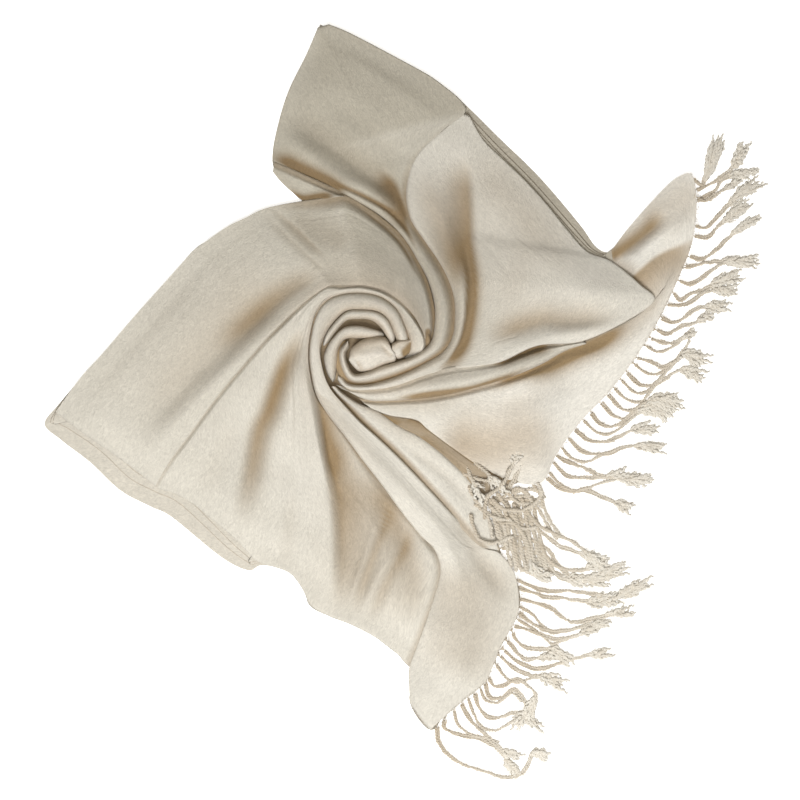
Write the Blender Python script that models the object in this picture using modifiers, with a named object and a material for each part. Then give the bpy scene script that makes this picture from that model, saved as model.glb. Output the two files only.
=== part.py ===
"""A fringed stole laid flat on a surface and twisted into a rosette.

The stole is one woven length, 2.0 by 0.7 m, folded in half along its length. It lies with its two fringed
ends to the right, and its middle is turned into a rosette of rolls about CENTRE. Every stretch of cloth
that shows is a thin wall, lofted through sections that run from its outer end to the rosette. A section is
a straight rule in plan between the stretch's left and right sides, and the height over it comes from the
mound of hidden layers, the lift of the stretch above them, and its folds. Plan sizes are in millimetres
from the middle of the heap's footprint, X to the right and Y away from the viewer's feet.
"""

import bmesh
import bpy
import numpy as np
from mathutils import Vector
from mathutils.geometry import delaunay_2d_cdt

MM = 0.001

# The rosette's middle in plan, and the cloth's wall
CENTRE = np.array((-27.0, 52.0))
WALL = 1.2
# Hidden layers: three steps at the edge, then a mound under the rosette
LAYER = 1.2
LAYERS = 3
BED = LAYER * LAYERS
BED_INSET = 1.3
MOUND_HEIGHT = 15.0
MOUND_RADIUS = 105.0
BED_SPACING = 24.0
BED_MARGIN = 9.6
SAME_POINT = 0.001
BED_RINGS = (18.0, 38.0, 58.0, 80.0, 104.0, 132.0, 165.0, 205.0, 255.0, 310.0)
# Height of a side's outer face over the hidden layers: of a broad stretch, whose wall lies flat there, and
# of a narrow coil, whose wall stands upright
BROAD_FOOT = 1.9
COIL_FOOT = 0.7
# Lift of the stretches far from the rosette and at it
LIFT_OUTER = 1.4
LIFT_ROSETTE = 13.5
LIFT_RADIUS = 95.0
# How far each kind of side stays back from its neighbour, and how many sections a curved outer edge bends
SEAM_INSET = {"roll": 0.3, "tuck": 1.1, "plain": 0.25}
EDGE_SECTIONS = 3
# Most of a narrow stretch's width that its two rounded sides take up
ROUND_SHARE = 0.8
# Share of a fold's length over which each of its ends fades out, and a smooth line's samples per table row
FOLD_FADE = 0.3
SAMPLES = 6

# Outline of the cloth, clockwise from the top tip, and how far each hidden layer steps in from the one below
OUTLINE = (
    # x, y, step
    (-80, 376, 0.8), (-55, 366, 0.8), (-29, 353, 0.8), (0, 338, 1.5), (30, 323, 3.0), (60, 301, 5.0),
    (100, 262, 7.0), (140, 223, 8.0), (180, 176, 7.0), (197, 153, 4.0), (212, 150, 1.0), (230, 174, 0.8),
    (251, 197, 0.8), (266, 212, 0.8), (291, 225, 0.8), (296, 193, 0.8), (291, 155, 0.8), (274, 112, 0.8),
    (254, 70, 0.8), (235, 42, 0.8), (209, 7, 0.8), (180, -22, 0.8), (157, -52, 0.8), (145, -79, 0.8),
    (117, -84, 0.8), (84, -100, 0.8), (94, -125, 0.8), (102, -153, 0.8), (116, -176, 0.8), (120, -208, 0.8),
    (100, -250, 0.8), (85, -282, 0.8), (51, -307, 0.8), (31, -331, 0.8), (9, -303, 0.8), (12, -270, 0.8),
    (-12, -248, 0.8), (-40, -228, 0.8), (-68, -218, 0.8), (-91, -206, 0.8), (-98, -184, 0.8),
    (-113, -171, 0.8), (-138, -166, 1.5), (-152, -171, 4.0), (-180, -157, 6.0), (-228, -118, 8.0),
    (-250, -107, 8.0), (-280, -91, 8.0), (-310, -63, 8.0), (-340, -40, 7.0), (-356, -24, 4.0),
    (-341, -3, 0.8), (-300, 44, 0.8), (-240, 110, 0.8), (-208, 149, 0.8), (-185, 164, 0.8),
    (-150, 185, 0.8), (-124, 194, 0.8), (-100, 196, 0.8), (-104, 207, 0.8), (-118, 221, 0.8),
    (-128, 236, 0.8), (-125, 264, 0.8), (-113, 306, 0.8), (-94, 345, 0.8),
)

# Sections of each stretch, from its outer end to the rosette: left side, then right side
TOP_PANEL = (
    # left x, left y, right x, right y
    (-82, 371, -74, 374), (-94, 344, -48, 361), (-111, 307, 0, 334), (-121, 270, 36, 313),
    (-126, 242, 62, 290), (-116, 233, 41, 270), (-95, 224, 21, 250), (-70, 213, 11, 235),
    (-48, 201, 6, 218), (-26, 188, 5, 200), (-8, 174, 10, 179), (6, 158, 23, 159), (18, 138, 38, 137),
    (28, 119, 48, 117), (34, 98, 53, 98), (35, 78, 53, 74), (31, 58, 46, 53), (17, 45, 30, 40),
    (-1, 38, 8, 29), (-18, 33, -13, 21), (-34, 27, -33, 16), (-46, 26, -50, 18), (-53, 37, -59, 32),
    (-54, 48, -61, 49), (-48, 55, -54, 60),
)
TOP_TUCK = (
    # left x, left y, right x, right y
    (-127, 228, -126, 234), (-119, 218, -116, 230), (-107, 207, -98, 222), (-96, 199, -82, 215),
    (-78, 200, -66, 208), (-60, 203, -55, 203),
)
RIGHT_PANEL = (
    # left x, left y, right x, right y
    (62, 286, 69, 284), (43, 269, 83, 260), (22, 250, 103, 240), (12, 235, 124, 220), (7, 218, 145, 197),
    (6, 200, 166, 171), (11, 179, 187, 148), (24, 159, 212, 138), (39, 137, 240, 115), (49, 117, 254, 99),
    (54, 98, 221, 76), (54, 74, 180, 58), (51, 61, 137, 54), (46, 52, 101, 38), (39, 45, 74, 33),
    (29, 39, 50, 30), (8, 28, 26, 24), (-13, 20, -2, 14), (-33, 15, -27, 10), (-51, 16, -51, 11),
    (-59, 26, -64, 21),
)
UPPER_END = (
    # left x, left y, right x, right y
    (213, 137, 211, 148), (221, 131, 231, 172), (231, 123, 260, 204), (244, 113, 289, 223),
    (258, 99, 296, 193), (251, 92, 291, 155), (236, 84, 276, 117), (217, 72, 258, 79),
    (199, 62, 235, 42), (184, 55, 208, 7), (164, 48, 180, -22), (144, 36, 156, -55), (122, 26, 142, -82),
    (100, 18, 114, -82), (76, 11, 81, -67), (52, 5, 52, -48), (28, 1, 28, -30), (2, -1, 16, -20),
    (-20, -2, -9, -16), (-38, -1, -28, -9),
)
LOWER_ROLL = (
    # left x, left y, right x, right y
    (184, 58, 186, 56), (162, 55, 165, 49), (139, 53, 144, 37), (118, 45, 122, 27), (99, 36, 100, 19),
    (74, 32, 76, 12), (51, 29, 52, 6), (27, 23, 28, 2), (-1, 13, 2, 0), (-26, 9, -22, -1),
    (-38, 9, -32, 0), (-50, 10, -41, 3), (-60, 13, -52, 9),
)
SUNK_STRIP = (
    # left x, left y, right x, right y
    (114, -85, 83, -99), (82, -71, 70, -76), (52, -51, 42, -50), (28, -32, 20, -36), (14, -22, 0, -28),
    (-8, -19, -21, -14), (-23, -13, -31, -8),
)
INNER_ROLL = (
    # left x, left y, right x, right y
    (99, -150, 86, -148), (92, -124, 74, -136), (82, -102, 62, -123), (68, -78, 48, -107),
    (40, -52, 24, -81), (18, -38, 2, -58), (-2, -29, -18, -39), (-24, -14, -38, -21), (-42, -3, -54, -4),
    (-56, 6, -63, 5), (-65, 14, -69, 13),
)
# The second end's left side is also the right side of the fan, and its coil's outer side
END_LEFT = (
    # x, y
    (9, -268), (16, -248), (24, -225), (31, -205), (40, -172), (34, -149), (20, -135), (0, -110),
    (-18, -85), (-38, -59), (-55, -36), (-72, -14), (-83, 5), (-88, 25), (-90, 45), (-88, 65), (-83, 84),
    (-74, 97), (-60, 104), (-40, 106), (-20, 102), (-4, 90), (4, 74), (8, 60),
)
END_RIGHT = (
    # x, y
    (84, -283), (94, -263), (101, -245), (118, -212), (115, -175), (100, -153), (84, -147), (63, -125),
    (47, -108), (23, -82), (1, -59), (-19, -40), (-39, -22), (-55, -5), (-67, 8), (-75, 25), (-79, 50),
    (-71, 71), (-55, 88), (-38, 90), (-22, 88), (-12, 81), (-6, 69), (-3, 60),
)
END_TIP = (
    # left x, left y, right x, right y
    (10, -303, 30, -329), (9, -287, 59, -304),
)
# The standing pleat's left side is also the fan's right side
PLEAT_LEFT = (
    # x, y
    (-144, -160), (-142, -130), (-139, -96), (-135, -62), (-129, -30), (-123, -5), (-117, 14), (-109, 38),
    (-103, 55), (-98, 68), (-92, 82), (-84, 94), (-72, 105), (-56, 111), (-38, 112), (-18, 107), (0, 96),
    (14, 80), (24, 62),
)
PLEAT_RIGHT = (
    # x, y
    (-71, -216), (-66, -182), (-64, -148), (-65, -118), (-69, -88), (-74, -58), (-79, -28), (-85, 5),
    (-89, 25), (-91, 45), (-89, 66), (-84, 85), (-75, 98), (-60, 105), (-40, 107), (-19, 103), (-3, 91),
    (5, 74), (10, 60),
)
SUNK_LEFT = (
    # x, y
    (-69, -216), (-65, -182), (-63, -148), (-64, -118), (-68, -88), (-73, -58), (-78, -28), (-81, -11),
    (-84, 3),
)
SUNK_RIGHT = (
    # x, y
    (9, -266), (22, -235), (38, -172), (19, -135), (-19, -85), (-39, -59), (-56, -36), (-70, -18),
    (-80, -1),
)
# The sharp crease between the left panel and the fan below it
FAN_CREASE = (
    # x, y
    (-244, -86), (-228, -60), (-210, -36), (-192, -11), (-175, 11), (-160, 29), (-148, 43), (-133, 60),
    (-121, 72), (-110, 83), (-98, 94), (-86, 104), (-72, 113),
)
PANEL_LEFT = (
    # x, y
    (-338, -3), (-317, 24), (-297, 46), (-275, 72), (-253, 97), (-235, 117), (-219, 135), (-206, 149),
    (-194, 158), (-182, 165), (-168, 172), (-154, 180), (-139, 189),
)
LOBE_OUTER = (
    # x, y
    (-138, 190), (-118, 194), (-95, 196), (-70, 199), (-56, 201), (-40, 193), (-22, 181), (-5, 167),
    (7, 153), (18, 134), (27, 114), (32, 93), (33, 75), (30, 58),
)
LOBE_INNER = (
    # x, y
    (-71, 114), (-63, 116), (-54, 117), (-45, 118), (-36, 117), (-26, 115), (-16, 111), (-6, 104),
    (4, 95), (13, 85), (19, 75), (23, 67), (25, 60), (28, 56),
)
COIL_OUTER = (
    # left x, left y, right x, right y
    (-5, 58, -10, 55), (-7, 68, -13, 64), (-13, 80, -20, 74), (-23, 87, -29, 80), (-38, 89, -41, 81),
    (-54, 87, -54, 79), (-70, 70, -66, 66), (-78, 53, -73, 55),
)
COIL_INNER = (
    # left x, left y, right x, right y
    (-15, 66, -17, 62), (-27, 70, -28, 62), (-40, 73, -41, 62), (-54, 72, -52, 62), (-63, 65, -58, 58),
    (-71, 54, -62, 50), (-75, 43, -63, 40), (-73, 30, -64, 29), (-69, 19, -65, 17),
)
BUD = (
    # left x, left y, right x, right y
    (-52, 44, -49, 34), (-47, 50, -40, 30), (-36, 56, -29, 31), (-24, 59, -18, 36), (-14, 59, -8, 39),
    (-8, 50, -2, 41),
)
PETAL = (
    # left x, left y, right x, right y
    (-7, 53, -1, 43), (1, 58, 4, 45), (8, 59, 11, 50), (16, 60, 17, 57),
)


# Outer edges that aren't straight: the edge's points from the stretch's left side to its right side
OUTER_EDGES = {
    "left_panel": ((-338, -3), (-315, -28), (-280, -54), (-252, -76), (-244, -85)),
    "fan_left": ((-244, -86), (-215, -98), (-185, -121), (-162, -141), (-144, -160)),
    "fan_pleat": ((-144, -160), (-128, -166), (-110, -173), (-98, -188), (-89, -205), (-71, -216)),
    "fan_sunk": ((-69, -216), (-50, -224), (-25, -237), (0, -256), (9, -266)),
}

# The largest folds inside a stretch, as soft ridges and troughs
FOLDS = (
    # stretches, height, half width, then x, y of each bend
    (("top_panel",), 4.5, 13.0, ((-110, 236), (-78, 228), (-45, 210), (-10, 184), (8, 162))),
    (("top_panel",), -5.0, 15.0, ((-84, 252), (-50, 238), (-18, 212), (-2, 196))),
    (("right_panel",), 5.0, 12.0, ((13, 232), (20, 200), (33, 168), (47, 140), (57, 110), (60, 78))),
    (("right_panel",), -9.0, 13.0, ((52, 228), (58, 190), (66, 150), (72, 110), (72, 66))),
    (("right_panel",), 3.0, 34.0, ((96, 214), (120, 160), (135, 112))),
    (("right_panel",), -3.0, 12.0, ((112, 84), (150, 82), (190, 92))),
    (("right_panel",), 3.5, 10.0, ((86, 46), (140, 64), (190, 74), (228, 90))),
    (("left_panel",), 4.0, 13.0, ((-252, -62), (-190, 4), (-130, 72), (-86, 110))),
    (("left_panel", "left_lobe"), -5.0, 20.0, ((-250, -20), (-190, 50), (-130, 98), (-70, 125))),
    (("left_panel",), 2.5, 26.0, ((-300, 12), (-240, 80), (-180, 140))),
    (("left_lobe",), 3.0, 22.0, ((-110, 150), (-60, 150), (-15, 132), (16, 100))),
    (("fan_left", "fan_pleat"), -6.5, 14.0, ((-104, 62), (-115, 24), (-128, -18), (-138, -62))),
    (("fan_left",), 2.5, 26.0, ((-212, -70), (-168, -5), (-128, 52))),
    (("fan_left", "fan_pleat", "fan_sunk"), 5.0, 14.0, ((-97, 66), (-99, 30), (-99, -20), (-103, -80))),
    (("fan_pleat", "fan_sunk"), -7.0, 15.0, ((-84, -2), (-64, -55), (-52, -105), (-60, -150))),
    (("fan_sunk",), 2.5, 6.0, ((-20, -88), (-34, -140), (-60, -205))),
    (("fan_sunk",), 2.5, 6.0, ((-2, -128), (-18, -162), (-48, -216))),
    (("lower_end",), 5.0, 13.0, ((-86, 16), (-66, -22), (-40, -55), (-8, -90), (24, -128), (54, -164))),
    (("lower_end",), -3.0, 13.0, ((46, -112), (78, -154), (98, -196))),
    (("upper_end",), 4.0, 30.0, ((44, -20), (110, -6), (170, 20))),
    (("upper_end",), 3.5, 8.0, ((232, 124), (256, 140), (288, 160))),
)

# Fringe: each end's woven edge carries a narrow strip, and every cord is rooted in it
STRIP_GAP = 0.2
STRIP_WIDTH = 3.0
STRIP_FOOT = 1.2
STRIP_TOP = 3.6
CORD_WIDTH = 2.8
CORD_FOOT = 0.5
CORD_TOP = 3.1
TUFT_WIDTH = 4.6
CORD_SPAN = 2
# Shares of a cord's length: where its tuft starts to widen, and where a raised cord starts and ends its climb
TUFT_START = 0.8
RAISED_SPAN = (0.1, 0.43)
UPPER_EDGE = (
    # x, y
    (290, 226), (296, 209), (297, 193), (291, 155), (276, 117), (258, 79), (235, 42), (208, 7),
    (180, -22), (156, -55), (144, -82),
)
UPPER_CORDS = (
    # root x, root y, first bend x, y, second bend x, y, tip x, y, height of the tip half above the floor
    (294, 224, 302, 223, 310, 238, 322, 261, 0), (295, 216, 312, 217, 330, 232, 345, 254, 0),
    (296, 207, 312, 208, 328, 220, 355, 226, 0), (297, 195, 311, 196, 322, 206, 336, 211, 0),
    (296, 180, 308, 176, 328, 196, 355, 213, 0), (294, 166, 308, 165, 326, 182, 347, 198, 0),
    (289, 149, 302, 144, 322, 158, 348, 178, 0), (284, 136, 298, 132, 314, 142, 338, 150, 0),
    (279, 123, 292, 118, 314, 128, 344, 137, 0), (274, 111, 284, 103, 303, 112, 328, 123, 0),
    (268, 98, 282, 93, 305, 103, 331, 111, 0), (261, 85, 277, 79, 300, 88, 328, 98, 0),
    (255, 72, 270, 65, 290, 71, 312, 83, 0), (248, 60, 260, 52, 278, 54, 297, 63, 0),
    (241, 49, 252, 39, 275, 40, 298, 46, 0), (233, 39, 244, 26, 268, 27, 295, 30, 0),
    (225, 28, 238, 15, 254, 14, 274, 15, 0), (216, 16, 230, 3, 252, 3, 270, 2, 0),
    (206, 5, 222, -9, 245, -10, 270, -11, 0), (196, -5, 212, -20, 234, -21, 256, -21, 0),
    (187, -14, 201, -30, 222, -32, 242, -31, 0), (178, -25, 190, -41, 216, -44, 252, -46, 0),
    (170, -35, 183, -52, 208, -55, 234, -58, 0), (163, -45, 175, -62, 203, -69, 240, -79, 0),
    (156, -55, 170, -74, 194, -81, 216, -88, 0), (151, -66, 164, -86, 192, -95, 226, -108, 0),
    (147, -76, 155, -94, 172, -102, 196, -108, 0),
)
LOWER_EDGE = (
    # x, y
    (84, -100), (93, -124), (101, -152), (116, -175), (119, -212), (102, -245), (95, -263),
    (85, -283), (60, -303), (34, -329),
)
LOWER_CORDS = (
    # root x, root y, first bend x, y, second bend x, y, tip x, y, height of the tip half above the floor
    (85, -103, 99, -103, 113, -92, 126, -60, 8), (87, -108, 102, -108, 122, -99, 144, -92, 0),
    (89, -114, 106, -115, 126, -109, 149, -101, 0), (91, -121, 110, -122, 132, -119, 152, -111, 0),
    (94, -128, 113, -130, 134, -130, 157, -124, 0), (96, -136, 115, -139, 140, -141, 166, -137, 0),
    (99, -145, 118, -148, 145, -151, 180, -152, 0), (106, -160, 128, -158, 165, -161, 210, -165, 0),
    (111, -168, 133, -167, 165, -172, 206, -176, 0), (115, -177, 134, -178, 170, -184, 237, -185, 0),
    (117, -186, 135, -188, 172, -196, 236, -195, 0), (118, -195, 136, -199, 166, -208, 222, -206, 0),
    (119, -204, 137, -211, 162, -219, 210, -217, 0), (118, -213, 134, -222, 158, -230, 203, -228, 0),
    (115, -221, 131, -232, 156, -240, 196, -238, 0), (111, -229, 126, -241, 152, -250, 202, -248, 0),
    (106, -238, 120, -250, 145, -260, 206, -258, 0), (101, -247, 115, -259, 140, -269, 180, -268, 0),
    (98, -256, 109, -267, 132, -278, 160, -281, 0), (94, -265, 104, -277, 124, -287, 148, -293, 0),
    (90, -274, 98, -286, 116, -295, 138, -304, 0), (84, -284, 93, -296, 110, -305, 132, -316, 0),
    (75, -291, 85, -304, 103, -314, 126, -328, 0), (66, -298, 76, -314, 97, -325, 119, -340, 0),
    (57, -306, 66, -323, 86, -336, 110, -352, 0), (49, -314, 55, -332, 78, -348, 114, -365, 0),
    (41, -322, 45, -343, 76, -366, 124, -376, 0),
)


def joined(left, right):
    """Sections whose two sides are separate tables of the same length."""
    return tuple((*a, *b) for a, b in zip(left, right))


# Each stretch: its sections, and how many millimetres each side takes to rise to its full height. A side
# is a roll that stands over its neighbour, a tuck that comes up from under it, or plain, level with it.
STRETCHES = (
    # name, sections, left kind, left reach, right kind, right reach, points across, share of lift, foot
    ("top_panel", TOP_PANEL, "roll", 9.0, "tuck", 12.0, 6, 1.0, BROAD_FOOT),
    ("top_tuck", TOP_TUCK, "roll", 5.0, "tuck", 4.0, 2, 0.5, BROAD_FOOT),
    ("right_panel", RIGHT_PANEL, "roll", 10.0, "roll", 7.0, 7, 1.0, BROAD_FOOT),
    ("upper_end", UPPER_END, "tuck", 18.0, "plain", 0.0, 5, 0.6, BROAD_FOOT),
    ("lower_roll", LOWER_ROLL, "tuck", 5.0, "roll", 8.0, 2, 1.0, BROAD_FOOT),
    ("sunk_strip", SUNK_STRIP, "tuck", 4.0, "tuck", 4.0, 2, 0.2, BROAD_FOOT),
    ("inner_roll", INNER_ROLL, "roll", 9.0, "tuck", 6.0, 3, 0.8, BROAD_FOOT),
    ("lower_end", END_TIP + joined(END_LEFT, END_RIGHT), "roll", 6.0, "roll", 7.0, 4, 1.0, BROAD_FOOT),
    ("fan_sunk", joined(SUNK_LEFT, SUNK_RIGHT), "plain", 0.0, "tuck", 10.0, 5, 0.85, BROAD_FOOT),
    ("fan_pleat", joined(PLEAT_LEFT, PLEAT_RIGHT), "plain", 0.0, "plain", 0.0, 5, 0.85, BROAD_FOOT),
    ("fan_left", joined(FAN_CREASE, PLEAT_LEFT[:13]), "tuck", 14.0, "plain", 0.0, 5, 0.85, BROAD_FOOT),
    ("left_panel", joined(PANEL_LEFT, FAN_CREASE), "plain", 0.0, "roll", 9.0, 7, 0.9, BROAD_FOOT),
    ("left_lobe", joined(LOBE_OUTER, LOBE_INNER), "tuck", 14.0, "roll", 6.0, 6, 0.9, BROAD_FOOT),
    ("coil_outer", COIL_OUTER, "roll", 3.0, "roll", 3.0, 1, 0.9, COIL_FOOT),
    ("coil_inner", COIL_INNER, "roll", 4.0, "roll", 4.0, 1, 0.7, COIL_FOOT),
    ("bud", BUD, "roll", 8.0, "roll", 9.0, 2, 0.9, COIL_FOOT),
    ("petal", PETAL, "roll", 5.0, "roll", 5.0, 2, 0.6, COIL_FOOT),
)


def smooth_path(points, per_span):
    """A cardinal spline through the rows of a table, per_span samples to each gap between rows."""
    rows = np.array(points, dtype=float)
    padded = np.vstack((2 * rows[:1] - rows[1:2], rows, 2 * rows[-1:] - rows[-2:-1]))
    t = np.arange(per_span)[:, None] / per_span
    spans = []
    for a, b, c, d in zip(padded[:-3], padded[1:-2], padded[2:-1], padded[3:]):
        spans.append(
            0.5 * (2 * b + (c - a) * t + (2 * a - 5 * b + 4 * c - d) * t**2 + (3 * b - a - 3 * c + d) * t**3)
        )
    return np.vstack((*spans, rows[-1:]))


def bed_height(xy):
    """Top of the hidden layers: flat at the edges, and a rounded mound under the rosette."""
    away = np.linalg.norm(xy - CENTRE, axis=-1)
    return BED + MOUND_HEIGHT * np.exp(-((away / MOUND_RADIUS) ** 2))


def lift_height(xy):
    """How far the stretches stand above the hidden layers, more towards the rosette."""
    away = np.linalg.norm(xy - CENTRE, axis=-1)
    return LIFT_OUTER + (LIFT_ROSETTE - LIFT_OUTER) * np.exp(-((away / LIFT_RADIUS) ** 2))


def fold_height(name, xy):
    """Sum of a stretch's folds: bell-shaped across, and fading out at both ends."""
    total = np.zeros(xy.shape[:-1])
    for stretches, height, half_width, bends in FOLDS:
        if name not in stretches:
            continue
        path = smooth_path(bends, SAMPLES)
        away = np.linalg.norm(xy[..., None, :] - path, axis=-1)
        share = away.argmin(axis=-1) / (len(path) - 1)
        end = np.clip(np.minimum(share, 1.0 - share) / FOLD_FADE, 0.0, 1.0)
        total += height * np.exp(-((away.min(axis=-1) / half_width) ** 2)) * end * end * (3.0 - 2.0 * end)
    return total


def rise(kind, distance, reach):
    """Share of the full height at a distance from a side: a quarter round for a roll, a step for a tuck."""
    if kind == "plain":
        return np.ones_like(distance)
    part = np.clip(distance / reach, 0.0, 1.0)
    if kind == "roll":
        return np.sqrt(1.0 - (1.0 - part) ** 2)
    return part * part * (3.0 - 2.0 * part)


def side_steps(kind):
    """Where the points nearest a side stand, as shares of its reach."""
    if kind == "plain":
        return np.array((0.0,))
    if kind == "roll":
        return np.array((0.0, 0.1, 0.4, 1.0))
    return np.array((0.0, 0.4, 1.0))


def along_path(points, shares):
    """Points at given shares of a polyline's length."""
    path = np.array(points, dtype=float)
    length = np.concatenate(((0.0,), np.cumsum(np.linalg.norm(np.diff(path, axis=0), axis=1))))
    at = shares * length[-1]
    return np.stack((np.interp(at, length, path[:, 0]), np.interp(at, length, path[:, 1])), axis=-1)


def stretch_points(name, sections, left_kind, left_reach, right_kind, right_reach, across, share, foot):
    """Grid of points of one stretch: its sections by the points across each of them."""
    rows = np.array(sections, dtype=float)
    left, right = rows[:, :2], rows[:, 2:]
    rule = (right - left) / np.linalg.norm(right - left, axis=1)[:, None]
    left = left + rule * SEAM_INSET[left_kind]
    right = right - rule * SEAM_INSET[right_kind]
    width = np.linalg.norm(right - left, axis=1)[:, None]
    fit = np.minimum(1.0, ROUND_SHARE * width / max(left_reach + right_reach, 1.0))
    near_left = side_steps(left_kind)[None, :] * left_reach * fit
    near_right = width - side_steps(right_kind)[None, ::-1] * right_reach * fit
    steps = np.linspace(0.0, 1.0, across + 2)[None, 1:-1]
    middle = near_left[:, -1:] + (near_right[:, :1] - near_left[:, -1:]) * steps
    distance = np.hstack((near_left, middle, near_right))
    share_across = distance / width
    xy = left[:, None] + (right - left)[:, None] * share_across[:, :, None]
    if name in OUTER_EDGES:
        bow = along_path(OUTER_EDGES[name], share_across[0]) - xy[0]
        bow[0] = 0.0
        bow[-1] = 0.0
        fade = np.clip(1.0 - np.arange(len(rows)) / EDGE_SECTIONS, 0.0, 1.0)
        xy = xy + bow[None] * fade[:, None, None]
    shape = rise(left_kind, distance, left_reach * fit)
    shape = shape * rise(right_kind, width - distance, right_reach * fit)
    lift = np.maximum(lift_height(xy) * share + fold_height(name, xy), 0.0)
    z = bed_height(xy) + foot + lift * shape
    return np.dstack((xy, z))


def new_object(name, mesh, material, collection):
    made = bpy.data.objects.new(name, mesh)
    mesh.materials.append(material)
    collection.objects.link(made)
    return made


def sheet(name, grid, material, collection):
    """An open sheet through a grid of points, facing up, given its wall by Solidify."""
    rows, columns = grid.shape[:2]
    number = np.arange(rows * columns).reshape(rows, columns)
    faces = np.stack((number[:-1, :-1], number[1:, :-1], number[1:, 1:], number[:-1, 1:]), axis=-1)
    mesh = bpy.data.meshes.new(name)
    mesh.from_pydata((grid.reshape(-1, 3) * MM).tolist(), [], faces.reshape(-1, 4).tolist())
    if sum(polygon.normal.z * polygon.area for polygon in mesh.polygons) < 0:
        mesh.flip_normals()
    mesh.shade_smooth()
    made = new_object(name, mesh, material, collection)
    wall = made.modifiers.new("wall", "SOLIDIFY")
    wall.thickness = WALL * MM
    wall.offset = -1.0
    return made


def inside(points, outline):
    """Which points lie inside a closed outline, by counting its crossings of a ray along X."""
    x, y = points[:, 0, None], points[:, 1, None]
    ax, ay = outline[None, :, 0], outline[None, :, 1]
    bx, by = np.roll(ax, -1), np.roll(ay, -1)
    cross = (ay > y) != (by > y)
    at = ax + (y - ay) * (bx - ax) / np.where(by == ay, 1.0, by - ay)
    return (cross & (x < at)).sum(axis=1) % 2 == 1


def distance_to(points, outline):
    """Least distance of each point from a closed outline's sides."""
    start = outline[None]
    run = np.roll(outline, -1, axis=0)[None] - start
    away = points[:, None] - start
    share = np.clip((away * run).sum(axis=2) / (run * run).sum(axis=2), 0.0, 1.0)
    return np.linalg.norm(away - run * share[:, :, None], axis=2).min(axis=1)


def fill_outline(outline, inner):
    """Triangles over a closed outline that also use the points inside it."""
    flat = [Vector(point) for point in (*outline.tolist(), *inner.tolist())]
    faces = [list(range(len(outline)))]
    points, _, triangles, _, _, _ = delaunay_2d_cdt(flat, [], faces, 1, 1e-6)
    return np.array([tuple(point) for point in points]), triangles


def hidden_layers(material, collection):
    """The folded layers under the stretches: three steps at the edge and a mound, flat underneath."""
    outline = np.array([row[:2] for row in OUTLINE], dtype=float)
    step = np.array([row[2] for row in OUTLINE])[:, None]
    run = np.roll(outline, -1, axis=0) - outline
    normal = np.stack((run[:, 1], -run[:, 0]), axis=1) / np.linalg.norm(run, axis=1)[:, None]
    inward = normal + np.roll(normal, 1, axis=0)
    inward = inward / np.linalg.norm(inward, axis=1)[:, None]
    rings = [outline + inward * (BED_INSET + step * layer) for layer in range(LAYERS)]
    levels = []
    for layer, ring in enumerate(rings):
        foot = np.full((len(ring), 1), layer * LAYER)
        head = np.full((len(ring), 1), (layer + 1) * LAYER)
        if layer == LAYERS - 1:
            head = bed_height(ring)[:, None]
        levels += [np.hstack((ring, foot)), np.hstack((ring, head))]
    spots = [CENTRE[None]]
    for radius in BED_RINGS:
        angles = np.linspace(0.0, 2.0 * np.pi, int(2.0 * np.pi * radius / BED_SPACING), endpoint=False)
        spots.append(CENTRE + radius * np.stack((np.cos(angles), np.sin(angles)), axis=1))
    spots = np.vstack(spots)
    spots = spots[inside(spots, rings[-1]) & (distance_to(spots, rings[-1]) > BED_MARGIN)]
    shape = bmesh.new()
    made = [[shape.verts.new(point * MM) for point in level] for level in levels]
    for low, high in zip(made[:-1], made[1:]):
        for a, b, c, d in zip(low, low[1:] + low[:1], high[1:] + high[:1], high):
            shape.faces.new((b, a, d, c))
    top = (rings[-1], spots, made[-1], True)
    underside = (rings[0], spots[:0], made[0], False)
    for ring, inner, base, face_up in (top, underside):
        points, triangles = fill_outline(ring, inner)
        corners = []
        for point in points:
            gap = np.linalg.norm(ring - point, axis=1)
            if gap.min() < SAME_POINT:
                corners.append(base[int(gap.argmin())])
            else:
                corners.append(shape.verts.new((*(point * MM), bed_height(point) * MM)))
        for triangle in triangles:
            order = triangle if face_up else triangle[::-1]
            shape.faces.new([corners[index] for index in order])
    bmesh.ops.recalc_face_normals(shape, faces=shape.faces)
    mesh = bpy.data.meshes.new("hidden_layers")
    shape.to_mesh(mesh)
    shape.free()
    return new_object("hidden_layers", mesh, material, collection)


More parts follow.
